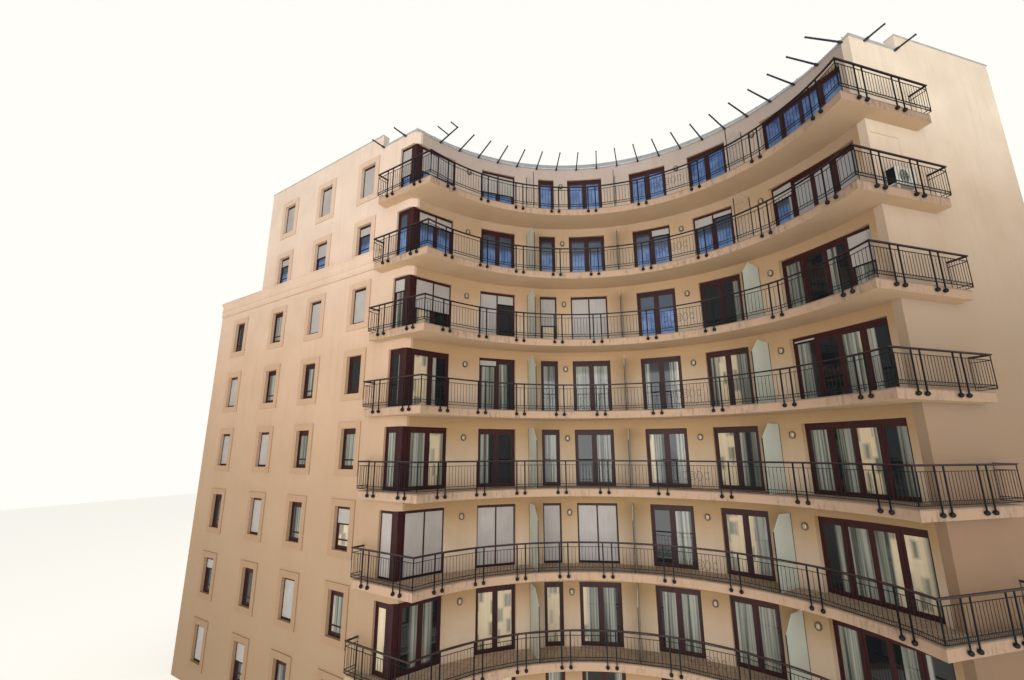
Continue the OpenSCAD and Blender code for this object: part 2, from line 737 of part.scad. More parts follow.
// Heights of the fixed frame's head and sill and of the leaves' rails, and how far the leaves stand back
head_rail = 110;
sill_rail = 40;
top_rail = 120;
foot_rail = 110;
leaf_set = 25;
// Height of a window's cross bar above its foot
cross_z = 330;

// Width of the leaves in a frame w wide, whose bays, listed by their number of leaves, stand between posts
function leaf_sum(bays, n) = n == 0 ? 0 : bays[n - 1] + leaf_sum(bays, n - 1);
function leaf_w(w, bays) = (w - (len(bays) + 1) * frame_w) / leaf_sum(bays, len(bays));
function bay_x(w, bays, b) = -w / 2 + (b + 1) * frame_w + leaf_sum(bays, b) * leaf_w(w, bays);

// Glass in every leaf: its left edge, its foot, its width and its height
function pane_sizes(w, h, bays, cross) = [for (b = [0 : len(bays) - 1], j = [0 : bays[b] - 1])
    let (x = bay_x(w, bays, b) + j * leaf_w(w, bays) + stile_w, pane_w = leaf_w(w, bays) - 2 * stile_w,
        z0 = sill_rail + foot_rail, z1 = h - head_rail - top_rail)
    each cross ? [[x, z0, pane_w, cross_z - z0], [x, cross_z + frame_w, pane_w, z1 - cross_z - frame_w]]
        : [[x, z0, pane_w, z1 - z0]]];

// A fixed frame with its leaves, standing with its outer face at y = 0
module joinery(w, h, bays, cross = false) {
    rotate([90, 0, 0]) {
        translate([0, 0, -leaf_set]) linear_extrude(leaf_set) difference() {
            translate([-w / 2, 0]) square([w, h]);
            for (b = [0 : len(bays) - 1]) translate([bay_x(w, bays, b), sill_rail])
                square([bays[b] * leaf_w(w, bays), h - head_rail - sill_rail]);
        }
        translate([0, 0, -joinery_t]) linear_extrude(joinery_t - leaf_set) difference() {
            translate([-w / 2, 0]) square([w, h]);
            for (p = pane_sizes(w, h, bays, cross)) translate([p[0], p[1]]) square([p[2], p[3]]);
        }
    }
}

// The panes that fill the leaves of the same frame
module panes(w, h, bays, cross = false) {
    for (p = pane_sizes(w, h, bays, cross))
        translate([p[0], (leaf_set + joinery_t - glass_t) / 2, p[1]]) cube([p[2], glass_t, p[3]]);
}

// Frames in the curved wall's openings: the middle, the width and the leaves in each bay
corner_front_w = corner_door_w - corner_post_w - corner_post_set;
corner_front_a = corner_door_angle + asin((corner_door_w - corner_front_w) / 2 / court_r);
corner_side_w = corner_return_w - corner_post_w - corner_post_set;
door_frames = concat([[corner_front_a, corner_front_w, [1, 1]]],
    [for (i = [1 : len(curve_doors) - 1]) [curve_doors[i][0], curve_doors[i][1],
        curve_doors[i][1] == narrow_door_w ? [1] : curve_doors[i][1] == wide_door_w ? [1, 2, 1] : [1, 1]]]);

function sag(w) = court_r - sqrt(court_r * court_r - w * w / 4);

module door_place(k, i) {
    translate([0, 0, floor_z(k)]) on_curve(door_frames[i][0])
        translate([0, reveal - sag(door_frames[i][1]) / 2, 0]) children();
}

module corner_side_place(k) {
    translate([0, 0, floor_z(k)]) on_wing(corner_return_w - corner_side_w / 2)
        translate([0, reveal, 0]) children();
}

module door_joinery(first, last) {
    for (k = [0 : storeys - 1], i = [first : last])
        door_place(k, i) joinery(door_frames[i][1], head_h, door_frames[i][2]);
}

module balcony_doors() {
    color(timber_colour) court() door_joinery(1, len(door_frames) - 2);
}

module wide_doors() {
    color(timber_colour) court() door_joinery(len(door_frames) - 1, len(door_frames) - 1);
}

module corner_doors() {
    color(timber_colour) court() {
        door_joinery(0, 0);
        for (k = [0 : storeys - 1]) corner_side_place(k) joinery(corner_side_w, head_h, [1]);
    }
}

module wing_window_place(k, s) {
    translate([0, 0, floor_z(k) + sill_h(k)]) on_wing(s) translate([0, reveal, 0]) children();
}

module back_window_place(k, s) {
    if (!(k == 0 && s == entrance_s))
        translate([0, 0, floor_z(k) + sill_h(k)]) on_back(s) translate([0, reveal, 0]) children();
}

module windows() {
    color(timber_colour) court() for (k = [0 : storeys - 1]) {
        for (s = wing_columns(k)) wing_window_place(k, s) joinery(window_w, head_h - sill_h(k), [1], true);
        for (s = back_columns(k)) back_window_place(k, s) joinery(window_w, head_h - sill_h(k), [1]);
    }
}

module entrance_door() {
    color(timber_colour) court() translate([0, 0, floor_z(0)]) on_back(entrance_s)
        translate([0, reveal, 0]) joinery(entrance_w, head_h, [2]);
}

module glass_panes() {
    color(glass_colour) court() {
        for (k = [0 : storeys - 1]) {
            for (i = [0 : len(door_frames) - 1])
                door_place(k, i) panes(door_frames[i][1], head_h, door_frames[i][2]);
            corner_side_place(k) panes(corner_side_w, head_h, [1]);
            for (s = wing_columns(k)) wing_window_place(k, s) panes(window_w, head_h - sill_h(k), [1], true);
            for (s = back_columns(k)) back_window_place(k, s) panes(window_w, head_h - sill_h(k), [1]);
        }
        translate([0, 0, floor_z(0)]) on_back(entrance_s)
            translate([0, reveal, 0]) panes(entrance_w, head_h, [2]);
    }
}

// Shutters of the doors that are let down: storeys below the top one, door, bay, share of its height
door_shutters = [[0, 0, 0, 0.5], [0, 0, 1, 0.5], [0, 1, 0, 0.45], [0, 1, 1, 0.45],
    [1, 0, 0, 0.22], [1, 0, 1, 0.22], [1, 4, 1, 0.15], [1, 5, 0, 0.2], [1, 5, 1, 0.1], [1, 6, 0, 0.25],
    [2, 0, 0, 0.57], [2, 0, 1, 0.57], [2, 1, 0, 1], [2, 1, 1, 0.2], [2, 2, 0, 0.6], [2, 3, 0, 1], [2, 3, 1, 1],
    [2, 6, 2, 0.5], [3, 1, 0, 0.12], [3, 6, 0, 0.05],
    [5, 0, 0, 1], [5, 0, 1, 1], [5, 1, 0, 1], [5, 1, 1, 1], [5, 2, 0, 1], [5, 3, 0, 1], [5, 3, 1, 1]];
// The same for the corner windows, as storey and share, and for the windows, as shares in each storey
corner_shutters = [[0, 0.6], [2, 0.25], [5, 1]];
window_shutters = [[1, 1, 1], [0.3, 0.5, 0.28], [1, 1, 0, 0], [0, 0, 0, 1], [0, 0, 1, 1], [0.4, 0, 1, 0],
    [0, 1, 0, 0.3], [1, 0, 0.5, 1]];
shutter_gap = 2;
shutter_t = 12;
shutter_y = 6;
shutter_bar_h = 50;
shutter_bar_t = 16;

// A shutter let down over a share of a bay's height, or the bar at its foot
module shutter(w, h, bays, b, share, bar) {
    bay_w = bays[b] * leaf_w(w, bays) - 2 * shutter_gap;
    top = h - head_rail - seat;
    foot = top - share * (h - head_rail - sill_rail) + shutter_gap;
    translate([bay_x(w, bays, b) + shutter_gap, 0, 0])
        if (bar) translate([0, shutter_y - 2, foot]) cube([bay_w, shutter_bar_t, shutter_bar_h]);
        else translate([0, shutter_y, foot + shutter_bar_h])
            cube([bay_w, shutter_t, top - foot - shutter_bar_h]);
}

module shutter_places(bar) {
    for (c = door_shutters) if (c[0] < storeys) {
        d = door_frames[c[1]];
        door_place(storeys - 1 - c[0], c[1]) shutter(d[1], head_h, d[2], c[2], c[3], bar);
    }
    for (c = corner_shutters) if (c[0] < storeys)
        corner_side_place(storeys - 1 - c[0]) shutter(corner_side_w, head_h, [1], 0, c[1], bar);
    for (k = [0 : storeys - 1]) {
        shares = window_shutters[(storeys - 1 - k) % len(window_shutters)];
        h = head_h - sill_h(k);
        front = wing_columns(k);
        back = back_columns(k);
        for (i = [0 : len(front) - 1]) if (shares[i % len(shares)] > 0)
            wing_window_place(k, front[i]) shutter(window_w, h, [1], 0, shares[i % len(shares)], bar);
        for (i = [0 : len(back) - 1]) if (shares[i % len(shares)] > 0)
            back_window_place(k, back[i]) shutter(window_w, h, [1], 0, shares[i % len(shares)], bar);
    }
}

module roller_shutters() {
    color("#B9B3AC") court() shutter_places(false);
}

module shutter_bars() {
    color(iron_colour) court() shutter_places(true);
}

// Air conditioner on a stand, on the return balcony of the terrace's storey, with a round grille on its front
cooler_size = [860, 280, 600];
cooler_s = 750;
cooler_gap = 50;
cooler_foot = 260;
cooler_leg = 50;
grille_d = 430;
grille_deep = 40;

module air_conditioner() {
    w = cooler_size.x;
    color("#DDD9D0") court() translate([0, 0, floor_z(terrace_k)]) on_side(cooler_s)
        translate([-w / 2, -cooler_gap - cooler_size.y, 0]) difference() {
            union() {
                translate([0, 0, cooler_foot]) cube(cooler_size);
                for (x = [cooler_leg, w - 2 * cooler_leg], y = [0, cooler_size.y - cooler_leg])
                    translate([x, y, 0]) cube([cooler_leg, cooler_leg, cooler_foot + cooler_leg]);
            }
            translate([w * 0.42, -1, cooler_foot + cooler_size.z / 2])
                rotate([-90, 0, 0]) cylinder(d = grille_d, h = grille_deep + 1);
        }
}

court_wall(1);  // court_wall_1
court_wall(2);  // court_wall_2
court_wall(3);  // court_wall_3
court_wall(4);  // court_wall_4
court_wall(5);  // court_wall_5
court_wall(6);  // court_wall_6
court_wall(7);  // court_wall_7
door_lintels();
wing_wall_lower();
wing_wall_upper();
side_wall();
back_wall_lower();
back_wall_upper();
end_walls();
floor_slabs();
roof_slab();
balcony_slab(1);  // balcony_slab_1
balcony_slab(2);  // balcony_slab_2
balcony_slab(3);  // balcony_slab_3
balcony_slab(4);  // balcony_slab_4
balcony_slab(5);  // balcony_slab_5
balcony_slab(6);  // balcony_slab_6
balcony_slab(7);  // balcony_slab_7
railing(1);  // railing_1
railing(2);  // railing_2
railing(3);  // railing_3
railing(4);  // railing_4
railing(5);  // railing_5
railing(6);  // railing_6
railing(7);  // railing_7
handrails();
privacy_screens();
screen_posts();
wall_lamps();
lamp_rims();
roof_bars();
roof_gutter();
roof_edge();
parapet_coping();
band_course();
window_surrounds();
corner_posts();
balcony_doors();
wide_doors();
corner_doors();
windows();
entrance_door();
glass_panes();
roller_shutters();
shutter_bars();
air_conditioner();
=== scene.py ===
import json
import math
import bmesh
import bpy
from mathutils import Matrix, Vector


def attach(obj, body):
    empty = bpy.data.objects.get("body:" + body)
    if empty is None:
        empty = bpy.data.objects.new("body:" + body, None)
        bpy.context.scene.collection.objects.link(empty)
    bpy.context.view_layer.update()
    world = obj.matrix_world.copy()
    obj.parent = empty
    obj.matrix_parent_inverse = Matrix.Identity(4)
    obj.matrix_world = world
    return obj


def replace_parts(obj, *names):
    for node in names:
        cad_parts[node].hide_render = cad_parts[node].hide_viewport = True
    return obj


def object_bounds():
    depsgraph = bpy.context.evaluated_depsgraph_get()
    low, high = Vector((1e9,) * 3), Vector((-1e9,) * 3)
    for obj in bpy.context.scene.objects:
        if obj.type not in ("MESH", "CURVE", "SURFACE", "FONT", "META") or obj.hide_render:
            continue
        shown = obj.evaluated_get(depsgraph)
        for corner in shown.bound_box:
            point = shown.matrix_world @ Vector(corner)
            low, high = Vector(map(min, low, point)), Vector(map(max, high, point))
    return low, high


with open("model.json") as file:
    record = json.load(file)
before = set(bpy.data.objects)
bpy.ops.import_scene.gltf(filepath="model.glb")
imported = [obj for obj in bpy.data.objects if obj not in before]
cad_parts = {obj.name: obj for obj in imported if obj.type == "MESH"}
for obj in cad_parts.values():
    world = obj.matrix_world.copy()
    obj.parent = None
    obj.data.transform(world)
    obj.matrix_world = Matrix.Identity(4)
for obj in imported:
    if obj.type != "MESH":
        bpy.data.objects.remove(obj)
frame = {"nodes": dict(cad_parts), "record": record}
cadLow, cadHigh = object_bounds()
nodes = frame["nodes"]
scene = bpy.context.scene
print("frame loaded,", len(nodes), "nodes")


# Small helpers

def linear(hexColour):
    parts = [int(hexColour[i:i + 2], 16) / 255 for i in (1, 3, 5)]
    return tuple(p / 12.92 if p <= 0.04045 else ((p + 0.055) / 1.055) ** 2.4 for p in parts) + (1.0,)


def setUp(tree, node, settings=None, links=None):  # colours come as hex, a ramp's as stops
    for key, value in (settings or {}).items():
        if key == "stops":
            ramp = node.color_ramp.elements
            for stop, (position, colour) in zip(ramp, (value[0], value[-1])):
                stop.position, stop.color = position, linear(colour)
            for position, colour in value[1:-1]:
                ramp.new(position).color = linear(colour)
        elif isinstance(key, int) or key in node.inputs:
            node.inputs[key].default_value = linear(value) if str(value).startswith("#") else value
        else:
            setattr(node, key, value)
    for key, source in (links or {}).items():
        tree.links.new(getattr(source, "outputs", [source])[0], node.inputs[key])
    return node


def add(tree, kind, settings=None, links=None):
    return setUp(tree, tree.nodes.new("ShaderNode" + kind), settings, links)


def dress(material, links=None, settings=None):  # joins patterns to the material's shader, or sets it
    setUp(material.node_tree, material.node_tree.nodes["Principled BSDF"], settings, links)
    return material


def newMaterial(name, settings):
    material = bpy.data.materials.new(name)
    material.use_nodes = True
    return dress(material, settings=settings), material.node_tree


def perMm(x, y=None, z=None):  # pattern scale from the real size of its features in millimetres
    return (1000 / x, 1000 / (y or x), 1000 / (z or y or x))


def newObject(name, data):
    made = bpy.data.objects.new(name, data)
    scene.collection.objects.link(made)
    return made


def everyStep(first, last, step):
    return [first + step * i for i in range(int((last - first) / step) + 1)]


def turnsOf(count):
    return [2 * math.pi * i / count for i in range(count)]


# Where things stand on the plan, in metres

plan = {
    "radius": 8.75,          # of the curved wall's face
    "centreY": -8.9,         # the middle of the curve
    "halfAngle": 66,         # from the axis to the corners, degrees
    "wingTurn": 17.4,        # how far the wing's front turns back, degrees
    "sideTurn": 33.8,        # the same for the return wall
    "firstFloor": 0.3,
    "storeyHeight": 3.0,
    "storeys": 8,
    "wallTop": 24.23,
    "parapetTop": 24.84,
}
# Settings of a node that counts storeys from a height
storeyCount = {"operation": "MULTIPLY_ADD", 1: 1 / plan["storeyHeight"],
               2: -plan["firstFloor"] / plan["storeyHeight"]}


def floorZ(storey):
    return plan["firstFloor"] + storey * plan["storeyHeight"]


def place(origin, turn, z):  # local x along the wall, local y into it, local z up
    return Matrix.Translation((origin.x, origin.y, z)) @ Matrix.Rotation(math.radians(turn), 4, "Z")


def onArc(radius, angle):
    a = math.radians(angle)
    return Vector((radius * math.sin(a), radius * math.cos(a) + plan["centreY"]))


def wallTurn(side):  # side -1 is the wing, 1 the return wall
    return plan["wingTurn"] if side < 0 else plan["sideTurn"]


def wallLine(side):
    turn = math.radians(wallTurn(side))
    return Vector((side * math.cos(turn), math.sin(turn)))


def alongWall(side, s, inside=0.0):
    along = wallLine(side)
    inward = Vector((-side * along.y, side * along.x))
    return onArc(plan["radius"], side * plan["halfAngle"]) + s * along + inside * inward


def placeOnCurve(angle, z):
    return place(onArc(plan["radius"], angle), -angle, z)


def placeOnWall(side, s, z):
    return place(alongWall(side, s), side * wallTurn(side), z)


def sag(width):
    return plan["radius"] - math.sqrt(plan["radius"] ** 2 - width ** 2 / 4)


# Mesh building

def skin(bm, low, high):  # faces between two rings of points
    count = len(low)
    for j in range(count):
        bm.faces.new((low[j], low[(j + 1) % count], high[(j + 1) % count], high[j]))


def closedSkin(bm, rings):  # the same through all rings, with a face at both ends
    for low, high in zip(rings, rings[1:]):
        skin(bm, low, high)
    bm.faces.new(rings[0][::-1])
    bm.faces.new(rings[-1])


def ringAt(bm, point, ahead, across, radius, sides):
    side = ahead.cross(across).normalized()
    return [bm.verts.new(point + radius * (math.cos(t) * side + math.sin(t) * across)) for t in turnsOf(sides)]


def tube(bm, points, radius, sides, across):  # a round bar along points; across is square to all of them
    last = len(points) - 1
    closedSkin(bm, [ringAt(bm, point, points[min(i + 1, last)] - points[max(i - 1, 0)], across, radius, sides)
                    for i, point in enumerate(points)])


def closedTube(bm, points, radius, sides, across):  # the same, closed to a ring
    count = len(points)
    rings = [ringAt(bm, point, points[(i + 1) % count] - points[i - 1], across, radius, sides)
             for i, point in enumerate(points)]
    for i in range(count):
        skin(bm, rings[i], rings[(i + 1) % count])


def block(bm, matrix, low, high, bevel=0.0):  # a bar or plate between two corners, with softened edges
    made = bmesh.ops.create_cube(bm, size=1.0)["verts"]
    size = Vector(high) - Vector(low)
    middle = Matrix.Translation((Vector(high) + Vector(low)) / 2)
    bmesh.ops.transform(bm, matrix=matrix @ middle @ Matrix.Diagonal((*size, 1.0)), verts=made)
    if bevel:
        edges = list({e for v in made for e in v.link_edges})
        bmesh.ops.bevel(bm, geom=edges, offset=bevel, segments=1, affect="EDGES")


def makePiece(name, bm, material, smooth=False):
    bmesh.ops.recalc_face_normals(bm, faces=bm.faces)
    mesh = bpy.data.meshes.new(name)
    bm.to_mesh(mesh)
    bm.free()
    mesh.materials.append(material)
    if smooth:
        mesh.shade_smooth()
    piece = newObject(name, mesh)
    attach(piece, "root")
    return piece


# Materials of the walls

renderLook = {
    # Paint by height in metres, with painted light and shade: darker ochre near the ground for the shade deep in
    # the court, paler and greyer under the roof for the open sky's light
    "court": [(3, "#977A58"), (10, "#9F825C"), (16, "#A98965"), (20.6, "#AE9272"), (22.0, "#AE9E94")],
    "wing": [(2, "#927A60"), (9, "#A58A70"), (15, "#BD9F86"), (22.5, "#D5BFAE")],
    "side": [(2, "#725C49"), (9, "#7F6651"), (14, "#917D69"), (19, "#B8A38E"), (22.5, "#DECDB8")],
    "surround": [(2, "#8E7459"), (9, "#9F8166"), (15, "#B39478"), (22.5, "#C8AE99")],
    "rampHeight": 25,        # metres that the paint's ramp spans
    "foot": "#C4B09B",       # a paler tone over the lower half of each storey's wall
    "stain": "#8C7154",
    # ochres of the downward faces, painted light for the balconies' undersides
    "soffit": ("#CAAC8C", "#B69877"),
    "rightPaintedShade": (0.0, 7.5, 0.82),   # painted shade over the court's right half, which sees no sun: from and to in x, share of its tone
    "mottleMm": 1700,
    "runMm": (210, 210, 3600),
    "grainMm": 9,            # sand grains of 2 mm, drawn coarser so that they show
}
slabLook = {
    "fascia": "#A88B73",
    "drip": "#675F55",
    "dripMm": (110, 110, 380),
    "patchMm": 1500,         # stretches of the edge that get the drips
    "tileEdge": "#7A6C60",   # the edge of the floor tiles, a grey line of 35 mm along the top
    "tileEdgeFrom": (0.486, 0.489),   # its lower border, as a share of a storey counted from half height
    "tiles": ("#B49E86", "#A8917A"),
    "bed": "#857C70",
    "tileSide": 0.3,
    "bedJoint": 0.012,
}


def renderMaterial(name, paintsAndShade, isSlab=False, footPart=0.0, paintedShadeRight=False):
    # Mineral render, floated and painted: dead matt, faintly cloudy, with runs below the edges, a sandy grain; its
    # tone by height, on downward faces and towards the right carries painted light and shade
    material, tree = newMaterial(name, {"Specular IOR Level": 0.25})
    coords = add(tree, "TexCoord").outputs["Object"]
    height = add(tree, "SeparateXYZ", links={0: coords}).outputs["Z"]
    share = add(tree, "Math", {"operation": "DIVIDE", 1: renderLook["rampHeight"]}, {0: height})
    # The ramp by height is painted shade low in the court and painted light under the roof
    stops = [(z / renderLook["rampHeight"], colour) for z, colour in paintsAndShade]
    paintAndShade = add(tree, "ValToRGB", {"stops": stops}, {"Fac": share})
    cloud = add(tree, "TexNoise", {"Scale": perMm(renderLook["mottleMm"])[0], "Detail": 5.0, "Roughness": 0.55},
                {"Vector": coords})
    if footPart:
        # Paler towards the foot of each storey's wall
        storey = add(tree, "Math", storeyCount, {0: height})
        inStorey = add(tree, "Math", {"operation": "FRACT"}, {0: storey})
        dust = add(tree, "MapRange", {"From Min": 0.7, "From Max": 0.25, "To Max": footPart}, {"Value": inStorey})
        paintAndShade = add(tree, "MixRGB", {"Color2": renderLook["foot"]}, {"Fac": dust, "Color1": paintAndShade})
    cloudy = add(tree, "MapRange", {"From Min": 0.35, "From Max": 0.75, "To Max": 0.22}, {"Value": cloud})
    mottled = add(tree, "MixRGB", {"Color2": renderLook["stain"]}, {"Fac": cloudy, "Color1": paintAndShade})
    runMap = add(tree, "Mapping", {"Scale": perMm(*renderLook["runMm"])}, {"Vector": coords})
    run = add(tree, "TexNoise", {"Scale": 1.0, "Detail": 4.0}, {"Vector": runMap})
    runs = add(tree, "MapRange", {"From Min": 0.52, "From Max": 0.78, "To Max": 0.13}, {"Value": run})
    streaked = add(tree, "MixRGB", {"Color2": renderLook["stain"]}, {"Fac": runs, "Color1": mottled})
    grain = add(tree, "TexNoise", {"Scale": perMm(renderLook["grainMm"])[0], "Detail": 3.0}, {"Vector": coords})
    speckle = add(tree, "MapRange", {"From Min": 0.3, "From Max": 0.7, "To Min": 0.93, "To Max": 1.05},
                  {"Value": grain})
    colour = add(tree, "VectorMath", {"operation": "SCALE"}, {0: streaked, "Scale": speckle})
    normal = add(tree, "NewGeometry").outputs["Normal"]
    upward = add(tree, "SeparateXYZ", links={0: normal}).outputs["Z"]
    if isSlab:
        # Slab edge: pinker paint with grey drips from the balcony floor and dark lime trails
        dripMap = add(tree, "Mapping", {"Scale": perMm(*slabLook["dripMm"])}, {"Vector": coords})
        drip = add(tree, "TexNoise", {"Scale": 1.0, "Detail": 5.0, "Roughness": 0.6}, {"Vector": dripMap})
        drips = add(tree, "MapRange", {"From Min": 0.48, "From Max": 0.68, "To Max": 0.65}, {"Value": drip})
        patch = add(tree, "TexNoise", {"Scale": perMm(slabLook["patchMm"])[0], "Detail": 2.0}, {"Vector": coords})
        patches = add(tree, "MapRange", {"From Min": 0.41, "From Max": 0.55}, {"Value": patch})
        wet = add(tree, "Math", {"operation": "MULTIPLY"}, {0: drips, 1: patches})
        edge = add(tree, "MixRGB", {"Color1": slabLook["fascia"], "Color2": slabLook["drip"]}, {"Fac": wet})
        slabLevel = add(tree, "Math", {**storeyCount, 2: storeyCount[2] + 0.5}, {0: height})
        inSlab = add(tree, "Math", {"operation": "FRACT"}, {0: slabLevel})
        edgeLow, edgeHigh = slabLook["tileEdgeFrom"]
        tileEdge = add(tree, "MapRange", {"From Min": edgeLow, "From Max": edgeHigh, "To Max": 0.8},
                       {"Value": inSlab})
        edge = add(tree, "MixRGB", {"Color2": slabLook["tileEdge"]}, {"Fac": tileEdge, "Color1": edge})
        face = add(tree, "Math", {"operation": "ABSOLUTE"}, {0: upward})
        isEdge = add(tree, "MapRange", {"From Min": 0.7, "From Max": 0.4}, {"Value": face})
        colour = add(tree, "MixRGB", links={"Fac": isEdge, "Color1": colour, "Color2": edge})
        # Floor tiles in a grey bed on top of the slab
        tile = add(tree, "TexBrick", {
            "Color1": slabLook["tiles"][0], "Color2": slabLook["tiles"][1], "Mortar": slabLook["bed"],
            "Scale": 1.0, "Mortar Size": slabLook["bedJoint"], "Brick Width": slabLook["tileSide"],
            "Row Height": slabLook["tileSide"], "offset": 0.0}, {"Vector": coords})
        isTop = add(tree, "MapRange", {"From Min": 0.6, "From Max": 0.9}, {"Value": upward})
        colour = add(tree, "MixRGB", links={"Fac": isTop, "Color1": colour, "Color2": tile})
    # Ceilings get their own ochre, chosen by facing downward: painted light, set for how bright the balconies'
    # undersides look
    under = add(tree, "MapRange", {"From Min": -0.6, "From Max": -0.9, "To Max": 0.95}, {"Value": upward})
    deep, pale = renderLook["soffit"]
    soffitPaintedLight = add(tree, "MixRGB", {"Color1": deep, "Color2": pale}, {"Fac": cloud})
    final = add(tree, "MixRGB", links={"Fac": under, "Color1": colour, "Color2": soffitPaintedLight})
    # Painted shade: darker towards the court's right, to 0.82 of the tone at x = 7.5 m, as that half gets no sun
    if paintedShadeRight:
        leftX, rightX, tone = renderLook["rightPaintedShade"]
        across = add(tree, "SeparateXYZ", links={0: coords}).outputs["X"]
        rightShadeShare = add(tree, "MapRange", {"From Min": leftX, "From Max": rightX, "To Min": 1.0, "To Max": tone},
                     {"Value": across})
        final = add(tree, "VectorMath", {"operation": "SCALE"}, {0: final, "Scale": rightShadeShare})
    dull = add(tree, "MapRange", {"To Min": 0.78, "To Max": 0.95}, {"Value": cloud})
    bump = add(tree, "Bump", {"Strength": 0.35, "Distance": 0.002}, {"Height": grain})
    return dress(material, {"Base Color": final, "Roughness": dull, "Normal": bump})


# One render in lit and shaded copies: the court's, the wing's and the return's tones differ as painted light and
# shade
courtRender = renderMaterial("courtRenderPaintedShade", renderLook["court"], footPart=0.8, paintedShadeRight=True)
wingRender = renderMaterial("wingRenderPaintedLight", renderLook["wing"])
sideRender = renderMaterial("returnRenderPaintedShade", renderLook["side"])
surroundRender = renderMaterial("smoothPlasterSurround", renderLook["surround"])
slabRender = renderMaterial("paintedSlabRender", renderLook["court"], isSlab=True, paintedShadeRight=True)
print("render materials made")


# Materials of concrete, metal and timber

def concreteMaterial():
    # Float-finished concrete screed: grey, blotched where water stood, with pinholes and fine joints of 2 m bays
    material, tree = newMaterial("screededConcrete", {"Specular IOR Level": 0.3})
    coords = add(tree, "TexCoord").outputs["Object"]
    blotch = add(tree, "TexNoise", {"Scale": perMm(2400)[0], "Detail": 6.0}, {"Vector": coords})
    tones = add(tree, "ValToRGB", {"stops": [(0.35, "#918C83"), (0.68, "#BBB5AB")]}, {"Fac": blotch})
    bay, joint = 2.0, 0.012
    bays = add(tree, "TexBrick", {
        "Color1": "#FFFFFF", "Color2": "#EFEFEF", "Mortar": "#6A665F", "Scale": 1.0,
        "Mortar Size": joint, "Brick Width": bay, "Row Height": bay, "offset": 0.0}, {"Vector": coords})
    jointed = add(tree, "MixRGB", {"blend_type": "MULTIPLY", "Fac": 1.0}, {"Color1": tones, "Color2": bays})
    pits = add(tree, "TexVoronoi", {"Scale": perMm(35)[0]}, {"Vector": coords})
    rough = add(tree, "MapRange", {"To Min": 0.95, "To Max": 0.75}, {"Value": blotch})
    bump = add(tree, "Bump", {"Strength": 0.25, "Distance": 0.002}, {"Height": pits})
    return dress(material, {"Base Color": jointed, "Roughness": rough, "Normal": bump})


def ironMaterial(name, dark, light):
    # Mild steel with brushed alkyd paint: blue-black satin, chalked a little, with pinheads of rust
    material, tree = newMaterial(name, {"IOR": 1.5, "Specular IOR Level": 0.2})
    coords = add(tree, "TexCoord").outputs["Object"]
    chalk = add(tree, "TexNoise", {"Scale": perMm(180)[0], "Detail": 5.0}, {"Vector": coords})
    tones = add(tree, "ValToRGB", {"stops": [(0.3, dark), (0.75, light)]}, {"Fac": chalk})
    pin = add(tree, "TexNoise", {"Scale": perMm(30)[0], "Detail": 4.0}, {"Vector": coords})
    rust = add(tree, "MapRange", {"From Min": 0.68, "From Max": 0.76, "To Max": 0.8}, {"Value": pin})
    colour = add(tree, "MixRGB", {"Color2": "#5E3A28"}, {"Fac": rust, "Color1": tones})
    rough = add(tree, "MapRange", {"To Min": 0.42, "To Max": 0.68}, {"Value": chalk})
    bump = add(tree, "Bump", {"Strength": 0.15, "Distance": 0.001}, {"Height": pin})
    return dress(material, {"Base Color": colour, "Roughness": rough, "Normal": bump})


def timberMaterial(name, grainMm, dark, mid, light, worn):
    # Meranti frames in a translucent red-brown stain: straight grain, darker pores, a thin satin film on top
    material, tree = newMaterial(name, {"IOR": 1.5, "Specular IOR Level": 0.25,
                                        "Coat Weight": 0.04, "Coat Roughness": 0.3})
    coords = add(tree, "TexCoord").outputs["Object"]
    stretched = add(tree, "Mapping", {"Scale": perMm(*grainMm)}, {"Vector": coords})
    grain = add(tree, "TexNoise", {"Scale": 1.0, "Detail": 6.0, "Roughness": 0.6, "Distortion": 0.4},
                {"Vector": stretched})
    tones = add(tree, "ValToRGB", {"stops": [(0.3, dark), (0.5, mid), (0.7, light)]}, {"Fac": grain})
    fade = add(tree, "TexNoise", {"Scale": perMm(900)[0], "Detail": 2.0}, {"Vector": coords})
    faded = add(tree, "MapRange", {"From Min": 0.45, "From Max": 0.8, "To Max": 0.3}, {"Value": fade})
    colour = add(tree, "MixRGB", {"Color2": worn}, {"Fac": faded, "Color1": tones})
    rough = add(tree, "MapRange", {"To Min": 0.45, "To Max": 0.65}, {"Value": grain})
    bump = add(tree, "Bump", {"Strength": 0.2, "Distance": 0.001}, {"Height": grain})
    return dress(material, {"Base Color": colour, "Roughness": rough, "Normal": bump})


def zincMaterial():
    # Rolled zinc sheet, weathered: light blue-grey patina, cloudy, with darker washed runs down the slope
    material, tree = newMaterial("weatheredZincSheet", {"Metallic": 0.35})
    coords = add(tree, "TexCoord").outputs["Object"]
    cloud = add(tree, "TexNoise", {"Scale": perMm(450)[0], "Detail": 6.0}, {"Vector": coords})
    tones = add(tree, "ValToRGB", {"stops": [(0.32, "#ABAEB0"), (0.7, "#BEBFC0")]}, {"Fac": cloud})
    runMap = add(tree, "Mapping", {"Scale": perMm(60, 60, 700)}, {"Vector": coords})
    run = add(tree, "TexNoise", {"Scale": 1.0, "Detail": 3.0}, {"Vector": runMap})
    runs = add(tree, "MapRange", {"From Min": 0.52, "From Max": 0.7, "To Max": 0.22}, {"Value": run})
    colour = add(tree, "MixRGB", {"Color2": "#868B8F"}, {"Fac": runs, "Color1": tones})
    rough = add(tree, "MapRange", {"To Min": 0.38, "To Max": 0.62}, {"Value": cloud})
    bump = add(tree, "Bump", {"Strength": 0.1, "Distance": 0.002}, {"Height": cloud})
    return dress(material, {"Base Color": colour, "Roughness": rough, "Normal": bump})


